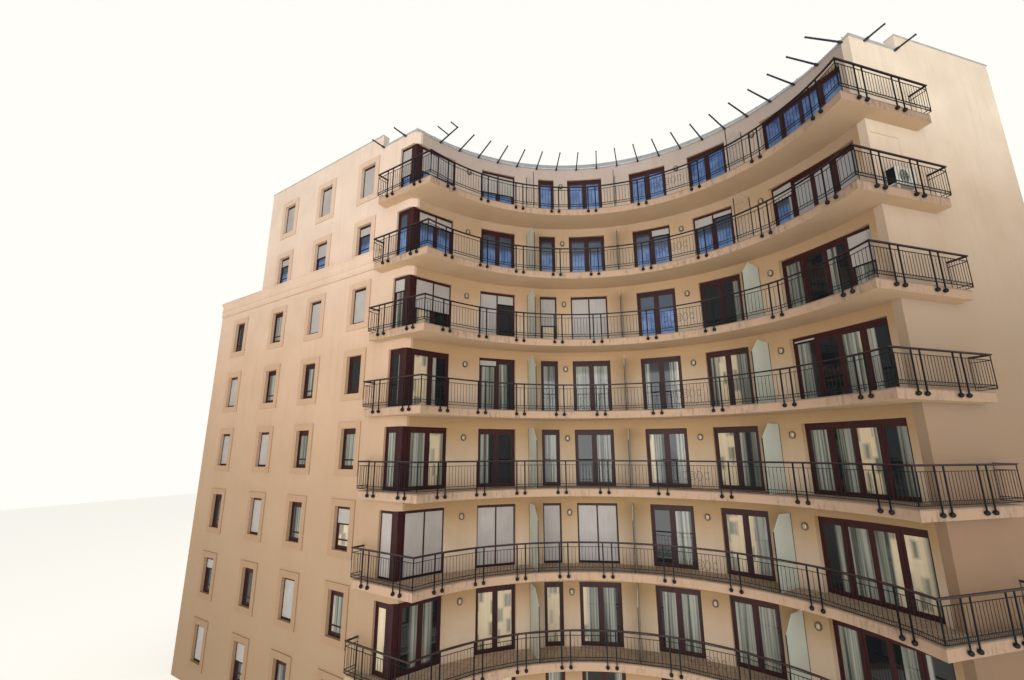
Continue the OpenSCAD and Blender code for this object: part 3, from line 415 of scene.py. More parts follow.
concrete = concreteMaterial()
iron = ironMaterial("blueBlackIronPaint", "#050608", "#14181E")
rimBronze = ironMaterial("dullLampRimPaint", "#453D34", "#5F5547")
greyIron = ironMaterial("chalkedRoofIronPaint", "#24272E", "#3B3F48")
frameTimber = timberMaterial("redStainedMeranti", (16, 16, 420), "#180809", "#2D0F10", "#3E1818", "#40221D")
railTimber = timberMaterial("oiledHandrailTimber", (420, 420, 9), "#1E1416", "#302022", "#47302D", "#45332F")
zinc = zincMaterial()
print("concrete, iron, timber and zinc made")


# Materials of glass, shutters and casings

glassLook = {
    "skyFrom": 18.2,         # above this height the panes carry a painted reflection of the open sky
    "skyDoorFrom": 15.2,     # so does one door lower down, above this height
    "skyDoorX": (1.35, 1.15),   # middle and half width of the stretch that it stands in
    "openSkyFrom": 21.2,     # above this, no painted reflection of a dark ceiling, painted shade too, lies in their upper half
    "skyReflectionDeep": "#22396B",
    "skyReflectionPale": "#6C89B4",
    "skyDriftMm": 520,
    "ceiling": "#31373A",
    "blind": "#8C8B8B",
    "blindLine": "#6F6F70",
    "blindMm": 90,
    "blindX": (7.1, 0.8),    # grey blinds are drawn behind the panes here: middle and half width
    "blindZ": (19.8, 1.5),   # and middle and half height
    # the dim room behind the panes, painted shade
    "inside": "#15181A",
    "netDark": "#3C4139",
    "netPale": "#9A9B90",
    "foldMm": (90, 90, 6000),
    "curtainMm": 1100,       # how often what stands behind the panes changes
    "opposite": "#CBB898",   # cream of the houses that face the court, in a painted reflection
    "houseMm": (420, 420, 700),
}


def glassMaterial():
    # Float glass before net curtains and blinds: a mirror-smooth face over a dim room, bluer where it sees sky; the
    # dim room is painted shade, and sky, ceilings and the houses opposite are painted reflections
    look = glassLook
    material, tree = newMaterial("glassPaintedReflections", {"Roughness": 0.04, "IOR": 1.52, "Specular IOR Level": 0.4})
    coords = add(tree, "TexCoord").outputs["Object"]
    height = add(tree, "SeparateXYZ", links={0: coords}).outputs["Z"]
    storey = add(tree, "Math", storeyCount, {0: height})
    inStorey = add(tree, "Math", {"operation": "FRACT"}, {0: storey})
    # What stands behind the glass changes along each storey, never up a pane: upright edges, as of curtains
    level = add(tree, "Math", {"operation": "FLOOR"}, {0: storey})
    offset = add(tree, "CombineXYZ", links={"Z": level})
    flat = add(tree, "VectorMath", {"operation": "MULTIPLY", 1: (1.0, 1.0, 0.0)}, {0: coords})
    spot = add(tree, "VectorMath", {"operation": "MULTIPLY_ADD", 1: (0.0, 0.0, 7.3)}, {0: offset, 2: flat})
    chance = add(tree, "TexNoise", {"Scale": perMm(look["curtainMm"])[0], "Detail": 0.0}, {"Vector": spot})
    # Folds of a net curtain hang from the head of the window
    foldMap = add(tree, "Mapping", {"Scale": perMm(*look["foldMm"])}, {"Vector": coords})
    fold = add(tree, "TexNoise", {"Scale": 1.0, "Detail": 2.0}, {"Vector": foldMap})
    folds = add(tree, "MapRange", {"From Min": 0.35, "From Max": 0.65}, {"Value": fold})
    net = add(tree, "MixRGB", {"Color1": look["netDark"], "Color2": look["netPale"]}, {"Fac": folds})
    hasNet = add(tree, "MapRange", {"From Min": 0.44, "From Max": 0.46, "To Max": 0.85}, {"Value": chance})
    room = add(tree, "MixRGB", {"Color1": look["inside"]}, {"Fac": hasNet, "Color2": net})
    # Painted reflections of the pale houses opposite, broken by their own windows
    houseMap = add(tree, "Mapping", {"Scale": perMm(*look["houseMm"])}, {"Vector": coords})
    house = add(tree, "TexVoronoi", {"Scale": 1.0, "distance": "CHEBYCHEV"}, {"Vector": houseMap})
    houses = add(tree, "MapRange", {"From Min": 0.25, "From Max": 0.4, "To Min": 0.15, "To Max": 0.8},
                 {"Value": house})
    seesHouse = add(tree, "MapRange", {"From Min": 0.6, "From Max": 0.63}, {"Value": chance})
    housePart = add(tree, "Math", {"operation": "MULTIPLY"}, {0: houses, 1: seesHouse})
    lowPane = add(tree, "MixRGB", {"Color2": look["opposite"]}, {"Fac": housePart, "Color1": room})
    # Painted reflection of the sky: paler towards the foot of the pane, with the faint lines of blinds
    paleFoot = add(tree, "MapRange", {"From Min": 0.7, "From Max": 0.1}, {"Value": inStorey})
    waveScale = perMm(look["blindMm"])[0] * math.pi / 10   # a wave texture repeats every pi / 10 of its scale
    blind = add(tree, "TexWave", {"wave_type": "BANDS", "bands_direction": "Z", "Scale": waveScale,
                                  "Distortion": 0.6}, {"Vector": coords})
    hasBlind = add(tree, "MapRange", {"From Min": 0.5, "From Max": 0.53, "To Max": 0.14}, {"Value": chance})
    lines = add(tree, "Math", {"operation": "MULTIPLY"}, {0: blind.outputs["Fac"], 1: hasBlind})
    softFold = add(tree, "Math", {"operation": "MULTIPLY", 1: 0.14}, {0: folds})
    pale = add(tree, "Math", {"operation": "MULTIPLY_ADD", 1: 0.45}, {0: paleFoot, 2: lines})
    # Drifting patches of brighter sky in the painted reflection, half a metre wide
    drift = add(tree, "TexNoise", {"Scale": perMm(look["skyDriftMm"])[0], "Detail": 3.0, "Distortion": 0.6},
                {"Vector": coords})
    drifts = add(tree, "MapRange", {"From Min": 0.38, "From Max": 0.68, "To Max": 0.5}, {"Value": drift})
    pale = add(tree, "Math", {"operation": "ADD"}, {0: pale, 1: drifts})
    paler = add(tree, "Math", {"operation": "ADD", "use_clamp": True}, {0: pale, 1: softFold})
    sky = add(tree, "MixRGB", {"Color1": look["skyReflectionDeep"], "Color2": look["skyReflectionPale"]}, {"Fac": paler})
    # Painted reflection of the dark balcony ceiling over the upper half of each pane, painted shade as well; none
    # above openSkyFrom
    ceiling = add(tree, "MapRange", {"From Min": 0.45, "From Max": 0.5, "To Max": 0.85}, {"Value": inStorey})
    covered = add(tree, "Math", {"operation": "LESS_THAN", 1: look["openSkyFrom"]}, {0: height})
    ceilingPart = add(tree, "Math", {"operation": "MULTIPLY"}, {0: ceiling, 1: covered})
    skyReflectionPane = add(tree, "MixRGB", {"Color2": look["ceiling"]}, {"Fac": ceilingPart, "Color1": sky})
    across = add(tree, "SeparateXYZ", links={0: coords}).outputs["X"]
    middle, half = look["skyDoorX"]
    inRange = add(tree, "Math", {"operation": "COMPARE", 1: middle, 2: half}, {0: across})
    aboveLow = add(tree, "Math", {"operation": "GREATER_THAN", 1: look["skyDoorFrom"]}, {0: height})
    single = add(tree, "Math", {"operation": "MULTIPLY"}, {0: inRange, 1: aboveLow})
    aboveHigh = add(tree, "Math", {"operation": "GREATER_THAN", 1: look["skyFrom"]}, {0: height})
    high = add(tree, "Math", {"operation": "MAXIMUM"}, {0: single, 1: aboveHigh})
    pane = add(tree, "MixRGB", links={"Fac": high, "Color1": lowPane, "Color2": skyReflectionPane})
    middle, half = look["blindX"]
    blindX = add(tree, "Math", {"operation": "COMPARE", 1: middle, 2: half}, {0: across})
    middle, half = look["blindZ"]
    blindZ = add(tree, "Math", {"operation": "COMPARE", 1: middle, 2: half}, {0: height})
    drawn = add(tree, "Math", {"operation": "MULTIPLY"}, {0: blindX, 1: blindZ})
    slats = add(tree, "MixRGB", {"Color1": look["blind"], "Color2": look["blindLine"]}, {"Fac": lines})
    colour = add(tree, "MixRGB", links={"Fac": drawn, "Color1": pane, "Color2": slats})
    return dress(material, {"Base Color": colour})


screenLook = {
    "clearFrom": 21.3,       # the top storey's screens are clear
    "rightClearFrom": 18.3,  # and the next storey's too, on the right
    "rightFrom": 2.0,
    "etched": 0.12,          # share of the light that each kind lets through
    "clear": 0.93,
}


def screenMaterial():
    # Toughened glass, acid-etched on one side: pale green-grey, soft and even, a little denser in places
    material, tree = newMaterial("etchedScreenGlass", {"IOR": 1.5})
    coords = add(tree, "TexCoord").outputs["Object"]
    height = add(tree, "SeparateXYZ", links={0: coords}).outputs["Z"]
    across = add(tree, "SeparateXYZ", links={0: coords}).outputs["X"]
    isTop = add(tree, "Math", {"operation": "GREATER_THAN", 1: screenLook["clearFrom"]}, {0: height})
    isSixth = add(tree, "Math", {"operation": "GREATER_THAN", 1: screenLook["rightClearFrom"]}, {0: height})
    onRight = add(tree, "Math", {"operation": "GREATER_THAN", 1: screenLook["rightFrom"]}, {0: across})
    bothTrue = add(tree, "Math", {"operation": "MULTIPLY"}, {0: isSixth, 1: onRight})
    chosen = add(tree, "Math", {"operation": "MAXIMUM"}, {0: isTop, 1: bothTrue})
    etched, clear = screenLook["etched"], screenLook["clear"]
    through = add(tree, "MapRange", {"To Min": etched, "To Max": clear}, {"Value": chosen})
    thin = add(tree, "MapRange", {"From Min": etched, "From Max": clear, "To Min": 1.0, "To Max": 0.14},
               {"Value": through})
    haze = add(tree, "TexNoise", {"Scale": perMm(600)[0], "Detail": 3.0}, {"Vector": coords})
    hazy = add(tree, "MixRGB", {"Color1": "#A3A797", "Color2": "#B9BFB2"}, {"Fac": haze})
    colour = add(tree, "MixRGB", {"Color2": "#F3F7F4"}, {"Fac": through, "Color1": hazy})
    rough = add(tree, "MapRange", {"From Min": etched, "From Max": clear, "To Min": 0.45, "To Max": 0.06},
                {"Value": through})
    return dress(material, {"Transmission Weight": through, "Alpha": thin, "Base Color": colour,
                            "Roughness": rough})


def lampMaterial():
    # Opal glass, pressed and fire-polished: milky, glossy, a touch yellower in places
    material, tree = newMaterial("opalLampGlass", {"Roughness": 0.22, "IOR": 1.5, "Coat Weight": 0.4})
    coords = add(tree, "TexCoord").outputs["Object"]
    cloud = add(tree, "TexNoise", {"Scale": perMm(90)[0], "Detail": 2.0}, {"Vector": coords})
    colour = add(tree, "MixRGB", {"Color1": "#8A7A63", "Color2": "#A09078"}, {"Fac": cloud})
    return dress(material, {"Base Color": colour})


def slatMaterial():
    # Extruded PVC shutter slats: warm grey and satin, faded unevenly, with thin washed streaks of dust
    material, tree = newMaterial("greyShutterSlats", {"IOR": 1.5})
    coords = add(tree, "TexCoord").outputs["Object"]
    fade = add(tree, "TexNoise", {"Scale": perMm(700)[0], "Detail": 3.0}, {"Vector": coords})
    slat = add(tree, "MixRGB", {"Color1": "#8F8984", "Color2": "#A8A29D"}, {"Fac": fade})
    washMap = add(tree, "Mapping", {"Scale": perMm(40, 40, 700)}, {"Vector": coords})
    wash = add(tree, "TexNoise", {"Scale": 1.0, "Detail": 3.0}, {"Vector": washMap})
    washed = add(tree, "MapRange", {"From Min": 0.5, "From Max": 0.75, "To Max": 0.35}, {"Value": wash})
    colour = add(tree, "MixRGB", {"Color2": "#7F7972"}, {"Fac": washed, "Color1": slat})
    rough = add(tree, "MapRange", {"To Min": 0.4, "To Max": 0.6}, {"Value": fade})
    return dress(material, {"Base Color": colour, "Roughness": rough})


def casingMaterial():
    # Powder-coated sheet steel: ivory, fine orange-peel, dust washed into streaks
    material, tree = newMaterial("ivoryPowderCoat", {"IOR": 1.5, "Coat Weight": 0.1})
    coords = add(tree, "TexCoord").outputs["Object"]
    dustMap = add(tree, "Mapping", {"Scale": perMm(70, 70, 500)}, {"Vector": coords})
    dust = add(tree, "TexNoise", {"Scale": 1.0, "Detail": 4.0}, {"Vector": dustMap})
    dusty = add(tree, "MapRange", {"From Min": 0.5, "From Max": 0.75, "To Max": 0.5}, {"Value": dust})
    colour = add(tree, "MixRGB", {"Color1": "#C2BDB2", "Color2": "#9A9285"}, {"Fac": dusty})
    rough = add(tree, "MapRange", {"To Min": 0.35, "To Max": 0.6}, {"Value": dust})
    peel = add(tree, "TexNoise", {"Scale": perMm(8)[0]}, {"Vector": coords})
    bump = add(tree, "Bump", {"Strength": 0.1, "Distance": 0.0005}, {"Height": peel})
    return dress(material, {"Base Color": colour, "Roughness": rough, "Normal": bump})


slotLooks = {
    "wall_render": courtRender,
    "concrete": concrete,
    "painted_iron": iron,
    "stained_timber": frameTimber,
    "zinc_sheet": zinc,
    "window_glass": glassMaterial(),
    "screen_glass": screenMaterial(),
    "lamp_glass": lampMaterial(),
    "shutter_slats": slatMaterial(),
    "casing_paint": casingMaterial(),
}
nodeLooks = {
    "handrails": railTimber,
    "roof_bars": greyIron,
    "side_wall": sideRender,
    "end_walls": wingRender,
    "window_surrounds": surroundRender,
    "band_course": wingRender,
    "lamp_rims": rimBronze,
}
nodeLooks.update({n: slabRender for n in nodes if n.startswith("balcony_slab")})
nodeLooks.update({n: wingRender for n in nodes if n.startswith(("wing_wall", "back_wall"))})
for part in frame["record"]["subparts"]:
    look = nodeLooks.get(part["node"], slotLooks[part["material_slot"]])
    for materialSlot in nodes[part["node"]].material_slots:
        materialSlot.material = look
print("glass, shutter and casing materials made, all nodes dressed")


# Railings: the short bars between the two low rails, and the wrought scrolls in the middle panel

railing = {
    "line": 7.2947,          # radius of the railing's line on the curve
    "off": 0.5153,           # its distance in front of the straight walls
    "posts": [-60.5, -47.6, -34.7, -21.8, -8.9, 8.2, 25.6, 44.9, 64.3],
    "pairGap": 0.325,
    "leftPairs": [0.94, -0.67],
    "rightPairs": [-0.68, 0.91],
    "leftReturn": 1.7,
    "rightReturn": 2.3,
    "postHalf": 0.016,
    "pitch": 0.125,          # of the balusters; the short bars stand twice as close
    "lowRail": 0.088,
    "midRail": 0.17,
    "barRadius": 0.006,
    "barSink": 0.004,        # how far the short bars run into both rails
    "scrollPanel": (8.2, 25.6),   # between the posts at these angles
    "scrollBar": 0.0065,
    "scrollOff": 0.0133,     # from the balusters' line, so that the scrolls just touch them
    "scrollHeight": 0.534,   # of their middle above the floor
    "scrollLength": 0.75,
    "scrollBend": (5, 45),   # curvature of a scroll's middle and what its ends add, per metre
    "circles": [(0.15, 36), (0.06, 20)],   # radius and number of points
    "scrolls": [(0.27, 1.0, 1), (0.5, 0.82, -1)],   # distance from the circles, size, and which way it faces
}


def railCorner(side):
    centre = Vector((0.0, plan["centreY"]))
    along = wallLine(side)
    start = alongWall(side, -plan["radius"] / 2, -railing["off"]) - centre
    reach = start.dot(along)
    return start + along * (-reach + math.sqrt(reach * reach - start.dot(start) + railing["line"] ** 2)) + centre


def railPoints():  # places on the plan and whether a post stands there, from the left return to the right one
    half, off = railing["pairGap"] / 2, -railing["off"]
    turn = math.degrees(math.asin(half / railing["line"]))
    left, right = railing["leftReturn"], railing["rightReturn"]
    points = [(alongWall(-1, left), False), (alongWall(-1, left, off), False)]
    points += [(alongWall(-1, s + e * half, off), True) for s in railing["leftPairs"] for e in (1, -1)]
    points += [(railCorner(-1), False)]
    points += [(onArc(railing["line"], a + e * turn), True) for a in railing["posts"] for e in (-1, 1)]
    points += [(railCorner(1), False)]
    points += [(alongWall(1, s + e * half, off), True) for s in railing["rightPairs"] for e in (-1, 1)]
    return points + [(alongWall(1, right, off), False), (alongWall(1, right), False)]


def cScroll(length, count):  # a bar bent to a C whose ends curl in; its curvature grows towards both ends
    step = length / (count - 1)
    bend, curl = railing["scrollBend"]
    x = y = heading = 0.0
    points = []
    for i in range(count):
        points.append((x, y))
        heading += (bend + curl * abs(2 * i / (count - 1) - 1) ** 3) * step
        x += math.cos(heading) * step
        y += math.sin(heading) * step
    first, last = points[0], points[-1]
    tilt = math.pi / 2 - math.atan2(last[1] - first[1], last[0] - first[0])
    cosine, sine = math.cos(tilt), math.sin(tilt)
    turned = [(px * cosine - py * sine, px * sine + py * cosine) for px, py in points]
    midX = (min(p[0] for p in turned) + max(p[0] for p in turned)) / 2
    midY = (min(p[1] for p in turned) + max(p[1] for p in turned)) / 2
    return [(px - midX, py - midY) for px, py in turned]


def addScrolls(bm, start, end, z):
    along = (end - start).normalized()
    outward = Vector((along.y, -along.x, 0.0))
    up = Vector((0, 0, 1))
    middle = (start + end) / 2 + outward * railing["scrollOff"] + Vector((0, 0, z + railing["scrollHeight"]))
    bar = railing["scrollBar"]
    for radius, count in railing["circles"]:
        ring = [middle + radius * (math.cos(t) * along + math.sin(t) * up) for t in turnsOf(count)]
        closedTube(bm, ring, bar, 6, outward)
    shape = cScroll(railing["scrollLength"], 64)
    for mirror in (-1, 1):
        for shift, size, face in railing["scrolls"]:
            line = [middle + along * mirror * (shift + face * size * px) + up * size * py for px, py in shape]
            tube(bm, line, bar, 6, outward)


points = railPoints()
panelFrom, panelTo = railing["scrollPanel"]
for storey in range(1, plan["storeys"]):
    bm = bmesh.new()
    scrolls = bmesh.new()
    z = floorZ(storey)
    for (first, firstPost), (second, secondPost) in zip(points, points[1:]):
        start, end = first.to_3d(), second.to_3d()
        along = (end - start).normalized()
        across = Vector((along.y, -along.x, 0.0))
        x0 = railing["postHalf"] * firstPost
        x1 = (end - start).length - railing["postHalf"] * secondPost
        barFoot = Vector((0, 0, z + railing["lowRail"] - railing["barSink"]))
        bar = Vector((0, 0, railing["midRail"] - railing["lowRail"] + 2 * railing["barSink"]))
        count = 2 * max(1, round((x1 - x0) / railing["pitch"]))
        for j in range(1, count):
            foot = start + along * (x0 + (x1 - x0) * j / count) + barFoot
            tube(bm, [foot, foot + bar], railing["barRadius"], 6, across)
        middleAngle = math.degrees(math.atan2((start.x + end.x) / 2, (start.y + end.y) / 2 - plan["centreY"]))
        if panelFrom < middleAngle < panelTo and (end - start).length > 1.0:
            addScrolls(scrolls, start, end, z)
    makePiece("railingShortBars_%d" % storey, bm, iron)
    makePiece("railingScrolls_%d" % storey, scrolls, iron, smooth=True)
print("railing bars and scrolls made")


# Roller shutters: each plain board of the CAD becomes a curtain of hinged slats

shutters = {
    "slat": 0.06,            # real slats are 45 mm high; drawn coarser so that they show
    "groove": 0.004,         # how far both faces draw back at a hinge joint
    "profile": [(0.0, 1.0), (0.12, 0.1), (0.45, 0.0), (0.8, 0.1)],   # share of the slat's height, of the groove
}


def boardsOf(node):  # corner, width, thickness and height of each plain board in a CAD node
    bm = bmesh.new()
    bm.from_mesh(nodes[node].data)
    bmesh.ops.remove_doubles(bm, verts=bm.verts, dist=1e-5)
    boards, seen = [], set()
    for first in bm.verts:
        if first in seen:
            continue
        seen.add(first)
        corners = [first]
        for vert in corners:
            for other in (edge.other_vert(vert) for edge in vert.link_edges):
                if other not in seen:
                    seen.add(other)
                    corners.append(other)
        spots = [v.co.copy() for v in corners]
        low = min(p.z for p in spots)
        foot = [p for p in spots if p.z < low + 0.001]
        origin = foot[0]
        foot.sort(key=lambda p: (p - origin).length)
        boards.append((origin, foot[2] - origin, foot[1] - origin, max(p.z for p in spots) - low))
    bm.free()
    return boards


bm = bmesh.new()
for origin, across, through, height in boardsOf("roller_shutters"):
    count = max(1, round(height / shutters["slat"]))
    levels = [(i + share, draw) for i in range(count) for share, draw in shutters["profile"]] + [(count, 1.0)]
    rows = []
    for level, draw in levels:
        inset = through.normalized() * draw * shutters["groove"]
        base = origin + Vector((0, 0, height * level / count))
        spots = (base + inset, base + across + inset, base + across + through - inset, base + through - inset)
        rows.append([bm.verts.new(p) for p in spots])
    closedSkin(bm, rows)
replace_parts(makePiece("shutterSlats", bm, slotLooks["shutter_slats"]), "roller_shutters")
print("shutter slats made")


# Wall lamps: domed opal glass over the flat seat of each lamp

lamps = {
    "angles": [-48.2, -18.2, 17.3, 39.0],
    "height": 1.95,
    "width": 0.2,            # of the whole lamp, which stands clear of the curve by the sag across it
    "halfWidth": 0.064,
    "halfStraight": 0.03,    # half the straight length of the oval
    "straightLoss": 0.6,     # share of it that is gone at the top of the dome
    "seat": 0.0615,          # how far the flat glass stands out from the wall
    "dome": 0.026,
    "rings": 7,
    "points": 28,
}
bm = bmesh.new()
for storey in range(1, plan["storeys"]):
    for angle in lamps["angles"]:
        matrix = placeOnCurve(angle, floorZ(storey) + lamps["height"])
        rings = []
        for t in (step / lamps["rings"] for step in range(lamps["rings"])):
            width = lamps["halfWidth"] * (1 - t)
            straight = lamps["halfStraight"] * (1 - lamps["straightLoss"] * t)
            out = -sag(lamps["width"]) - lamps["seat"] - lamps["dome"] * math.sqrt(1 - (1 - t) ** 2)
            oval = []
            for turn in (2 * math.pi * (j + 0.5) / lamps["points"] for j in range(lamps["points"])):
                up = math.sin(turn) * width + math.copysign(straight, math.sin(turn))
                oval.append(bm.verts.new(matrix @ Vector((math.cos(turn) * width, out, up))))
            rings.append(oval)
        closedSkin(bm, rings)
makePiece("lampDomes", bm, slotLooks["lamp_glass"], smooth=True)
print("lamp domes made")


# Sloped zinc roof edge: standing seams, and straps that carry the gutter

seams = {
    "step": 3.6,             # degrees between the seams on the curve, about 550 mm
    "lastAngle": 61.5,
    "run": 0.6,
    "high": 0.022,
    "thick": 0.012,
    "sink": 0.004,           # how far a seam's foot runs into the sheet
    "endGap": 0.006,
    "softEdge": 0.003,
    "returns": [0.55, 1.1, 1.65, 2.17],
    "strapFrom": 1.2,        # degrees after the first seam
    "strapStep": 4.3,
    "strapHalf": 0.015,
    "strapThick": 0.004,
    "strapRise": 0.006,      # above the gutter's rim
    "gutter": (0.06, 0.05),
}
rise = plan["parapetTop"] - plan["wallTop"]
tilt = Matrix.Rotation(math.atan2(rise, seams["run"]), 4, "X")
half, sink = seams["thick"] / 2, seams["sink"]
seamEnd = math.hypot(seams["run"], rise) - seams["endGap"]
angles = everyStep(-seams["lastAngle"], seams["lastAngle"], seams["step"])
spots = [placeOnCurve(angle, plan["wallTop"]) for angle in angles]
spots += [placeOnWall(side, s, plan["wallTop"]) for side in (-1, 1) for s in seams["returns"]]
bm = bmesh.new()
for spot in spots:
    block(bm, spot @ tilt, (-half, sink, -sink), (half, seamEnd, seams["high"]), seams["softEdge"])
makePiece("roofSeams", bm, zinc)
bm = bmesh.new()
deep, tall = seams["gutter"]
half, thick = seams["strapHalf"], seams["strapThick"]
for angle in everyStep(seams["strapFrom"] - seams["lastAngle"], seams["lastAngle"], seams["strapStep"]):
    matrix = placeOnCurve(angle, plan["wallTop"] - tall)
    block(bm, matrix, (-half, -deep - thick, -thick), (half, 0.0, 0.0))
    block(bm, matrix, (-half, -deep - thick, -thick), (half, -deep + 0.001, tall + seams["strapRise"]))
makePiece("gutterStraps", bm, zinc)
print("roof seams and gutter straps made")


# Roof bars: slender tapered bars in short sockets, which stand for the plain ones of the CAD

roofBars = {
    "firstAngle": -58.2,
    "stepAngle": 6.45,
    "lastAngle": 66,
    "reach": 1.4,
    "returnReach": 0.7,
    "returns": [0.7, 2.1],
    "height": 24.1638,       # of their centre line
    "rootHalf": 0.025,
    "tipHalf": 0.021,
    "socketHalf": 0.036,
    "socketLength": 0.16,
    "capHalf": 0.028,
    "capLength": 0.03,
    "wallGap": 0.0003,
    "crossBack": (0.7, 0.035),   # how far the first bar's two cross bars stand behind its tip
    "crossLength": (0.7, 0.42),
}


def addRoofBar(bm, matrix, reach):
    gap = roofBars["wallGap"]
    closedSkin(bm, [[bm.verts.new(matrix @ Vector((x * half, y, z * half)))
                     for x, z in ((-1, -1), (1, -1), (1, 1), (-1, 1))]
                    for y, half in ((-gap, roofBars["rootHalf"]), (-reach, roofBars["tipHalf"]))])
    half = roofBars["socketHalf"]
    block(bm, matrix, (-half, -roofBars["socketLength"], -half), (half, -gap, half), 0.006)
    half = roofBars["capHalf"]
    block(bm, matrix, (-half, -reach, -half), (half, -reach + roofBars["capLength"], half), 0.004)


bm = bmesh.new()
for angle in everyStep(roofBars["firstAngle"], roofBars["lastAngle"], roofBars["stepAngle"]):
    addRoofBar(bm, placeOnCurve(angle, roofBars["height"]), roofBars["reach"])
for side in (-1, 1):
    for s in roofBars["returns"]:
        addRoofBar(bm, placeOnWall(side, s, roofBars["height"]), roofBars["returnReach"])
half = roofBars["tipHalf"]
for back, length in zip(roofBars["crossBack"], roofBars["crossLength"]):
    spot = onArc(plan["radius"] - roofBars["reach"] + back, roofBars["firstAngle"])
    block(bm, place(spot, -plan["wingTurn"], roofBars["height"]), (-half, -length, -half), (half, 0.0, half), 0.004)
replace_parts(makePiece("roofBarsTapered", bm, greyIron), "roof_bars")
print("tapered roof bars made")


# Air conditioner: wire guard and fan in its round recess, lid, base rail, service cover and the coil's fins

cooler = {
    "side": 1, "along": 0.75, "storey": 6,
    "centre": (-0.0688, 0.56),   # of the fan, on the front
    "radius": 0.215,
    "rings": 8,
    "spokes": 12,
    "wire": 0.0028,
    "blades": 3,
    "hub": [(0.05, 0.038), (0.05, 0.016), (0.044, 0.011), (0.028, 0.008)],   # radius and depth of each ring
    "box": ((-0.43, -0.33, 0.26), (0.43, -0.05, 0.86)),
    "finStep": 0.0123,       # of the coil on its left side
    "finThick": 0.0015,
}
matrix = placeOnWall(cooler["side"], cooler["along"], floorZ(cooler["storey"]))
outward = (matrix.to_3x3() @ Vector((0, -1, 0))).normalized()
cx, cz = cooler["centre"]
(x0, y0, z0), (x1, y1, z1) = cooler["box"]


def coolerPoint(radius, turn, depth):
    return matrix @ Vector((cx + radius * math.cos(turn), y0 + depth, cz + radius * math.sin(turn)))


bm = bmesh.new()
for ring in range(cooler["rings"]):
    radius = cooler["radius"] * (0.22 + 0.77 * ring / (cooler["rings"] - 1))
    closedTube(bm, [coolerPoint(radius, turn, 0.002) for turn in turnsOf(40)], cooler["wire"], 5, outward)
for turn in turnsOf(cooler["spokes"]):
    ends = [coolerPoint(radius, turn, 0.005) for radius in (0.03, cooler["radius"] + 0.004)]
    tube(bm, ends, cooler["wire"], 5, outward)
makePiece("coolerGuard", bm, iron, smooth=True)
bm = bmesh.new()
for base in turnsOf(cooler["blades"]):
    rows = []
    for out in (r / 5 for r in range(6)):  # shares of the blade's length, then of its width
        radius = 0.04 + (cooler["radius"] - 0.05) * out
        rows.append([bm.verts.new(coolerPoint(radius, base + 0.25 * out + 1.5 * w * (0.45 + 0.55 * out),
                                              0.036 - 0.02 * w)) for w in (i / 5 for i in range(6))])
    for low, high in zip(rows, rows[1:]):
        for w in range(5):
            bm.faces.new((low[w], low[w + 1], high[w + 1], high[w]))
hub = [[bm.verts.new(coolerPoint(r, turn, d)) for turn in turnsOf(24)] for r, d in cooler["hub"]]
for low, high in zip(hub, hub[1:]):
    skin(bm, low, high)
bm.faces.new(hub[-1])
makePiece("coolerFan", bm, slotLooks["casing_paint"], smooth=True)
bm = bmesh.new()
block(bm, matrix, (x0 - 0.001, y0 + 0.018, z0 + 0.04), (x0 + 0.002, y1 - 0.018, z1 - 0.04))
for fin in range(round((y1 - y0 - 0.04) / cooler["finStep"])):
    y = y0 + 0.022 + fin * cooler["finStep"]
    block(bm, matrix, (x0 - 0.005, y, z0 + 0.045), (x0, y + cooler["finThick"], z1 - 0.045))
makePiece("coolerCoil", bm, iron)
# Lid, service cover and base rail stand 3 or 4 mm proud of the casing
bm = bmesh.new()
block(bm, matrix, (x0 - 0.004, y0 - 0.004, z1 - 0.016), (x1 + 0.004, y1 + 0.004, z1 + 0.003), 0.003)
block(bm, matrix, (cx + 0.26, y0 - 0.003, z0 + 0.02), (x1 - 0.012, y0 + 0.001, z1 - 0.03), 0.001)
block(bm, matrix, (x0 - 0.003, y0 - 0.003, z0 - 0.002), (x1 + 0.003, y1 + 0.003, z0 + 0.012), 0.002)
makePiece("coolerCovers", bm, slotLooks["casing_paint"])
print("air conditioner's guard, fan, coil and covers made")


# Camera, light and floor

cameraPlace = {
    "spot": (1.1057, -21.0568, 10.6664),
    "heading": 17.172,       # degrees, as are the next two
    "tilt": 13.382,
    "roll": -0.0648,
    "lens": 16.606,
    "sensor": 36,
    "farthest": 500,
}
cameraData = bpy.data.cameras.new("courtyardCamera")
cameraData.lens = cameraPlace["lens"]
cameraData.sensor_width = cameraPlace["sensor"]
cameraData.clip_end = cameraPlace["farthest"]
scene.camera = newObject("courtyardCamera", cameraData)
aim = Matrix.Translation(cameraPlace["spot"])
for degrees, axis in ((cameraPlace["heading"], "Z"), (90 + cameraPlace["tilt"], "X"), (cameraPlace["roll"], "Z")):
    aim = aim @ Matrix.Rotation(math.radians(degrees), 4, axis)
scene.camera.matrix_world = aim

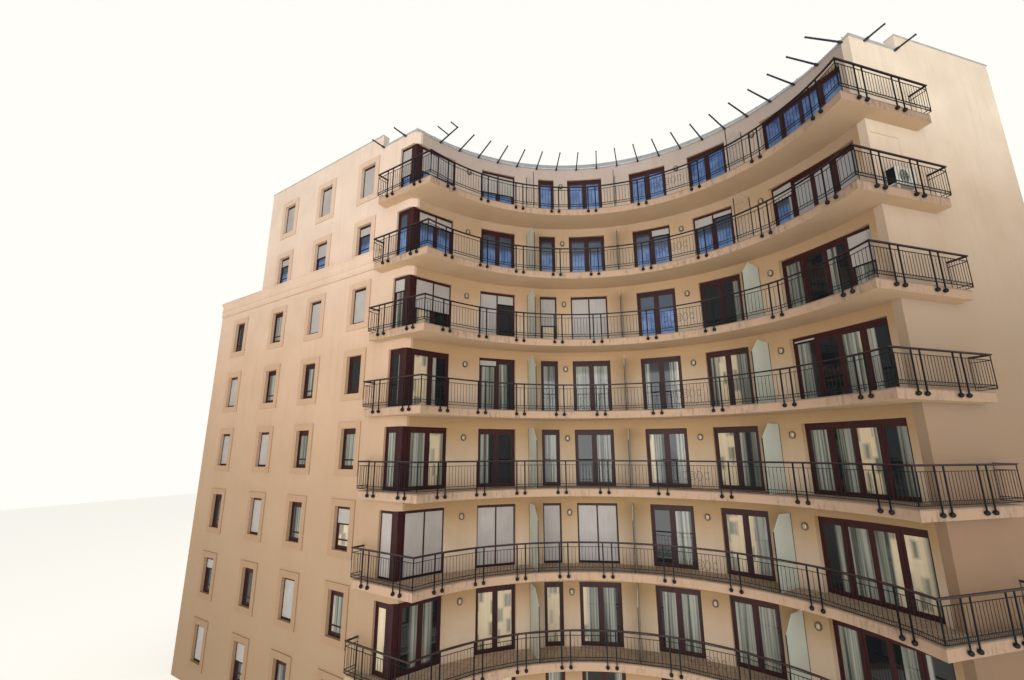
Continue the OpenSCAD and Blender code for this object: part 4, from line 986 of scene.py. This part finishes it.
studio = {
    "sky": "#FFFEF8",
    "skyStrength": 0.45,     # as a light; the backdrop itself is shown at full white
    "keyStrength": 0.85,
    "keySpread": 60,         # degrees; wide, for soft shadows
    "keyFrom": (0.15, -0.95, 0.3),
    "panelPower": 14500,     # a large soft panel low in front, as light comes back from pale fronts opposite
    "panelSize": (60, 24),
    "panelSpot": (0, -40, 9),
    "backPower": 9000,       # a weaker one behind, so that the back and the roof aren't dull
    "backSpot": (6, 58, 24),
    "panelAim": (0, 0, 14),
    "floor": "#F2F0EA",
    "floorGlow": 0.5,        # lifts the floor to the pale tone of the backdrop
    "floorReach": 120,
    "floorDrop": 0.002,
}
world = bpy.data.worlds.new("paleStudio")
scene.world = world
world.use_nodes = True
skyTree = world.node_tree
skySettings = {"Color": studio["sky"], "Strength": studio["skyStrength"]}
skyLight = setUp(skyTree, skyTree.nodes["Background"], skySettings)
backdrop = add(skyTree, "Background", {"Color": studio["sky"], "Strength": 1.0})
seen = add(skyTree, "LightPath").outputs["Is Camera Ray"]
skyMix = add(skyTree, "MixShader", links={0: seen, 1: skyLight, 2: backdrop})
setUp(skyTree, skyTree.nodes["World Output"], links={"Surface": skyMix})
scene.view_settings.view_transform = "Standard"


def aimLight(light, direction):
    light.rotation_mode = "QUATERNION"
    light.rotation_quaternion = direction.to_track_quat("Z", "Y")


keyData = bpy.data.lights.new("softKey", "SUN")
keyData.energy = studio["keyStrength"]
keyData.angle = math.radians(studio["keySpread"])
aimLight(newObject("softKey", keyData), Vector(studio["keyFrom"]))
for name, spot, power in (("softPanel", studio["panelSpot"], studio["panelPower"]),
                          ("backPanel", studio["backSpot"], studio["backPower"])):
    panelData = bpy.data.lights.new(name, "AREA")
    panelData.shape = "RECTANGLE"
    panelData.size, panelData.size_y = studio["panelSize"]
    panelData.energy = power
    panel = newObject(name, panelData)
    panel.location = spot
    aimLight(panel, Vector(spot) - Vector(studio["panelAim"]))
    panel.visible_camera = False

floorMaterial = newMaterial("paleFloorPaint", {
    "Roughness": 0.9, "Base Color": studio["floor"], "Emission Color": studio["floor"],
    "Emission Strength": studio["floorGlow"]})[0]
floorMesh = bpy.data.meshes.new("paleFloor")
reach = studio["floorReach"]
corners = [(x * reach, y * reach, 0) for x, y in ((-1, -1), (1, -1), (1, 1), (-1, 1))]
floorMesh.from_pydata(corners, [], [(0, 1, 2, 3)])
floorMesh.materials.append(floorMaterial)
floor = newObject("paleFloor", floorMesh)
floor.location.z = cadLow.z - studio["floorDrop"]
print("camera, light and floor set")
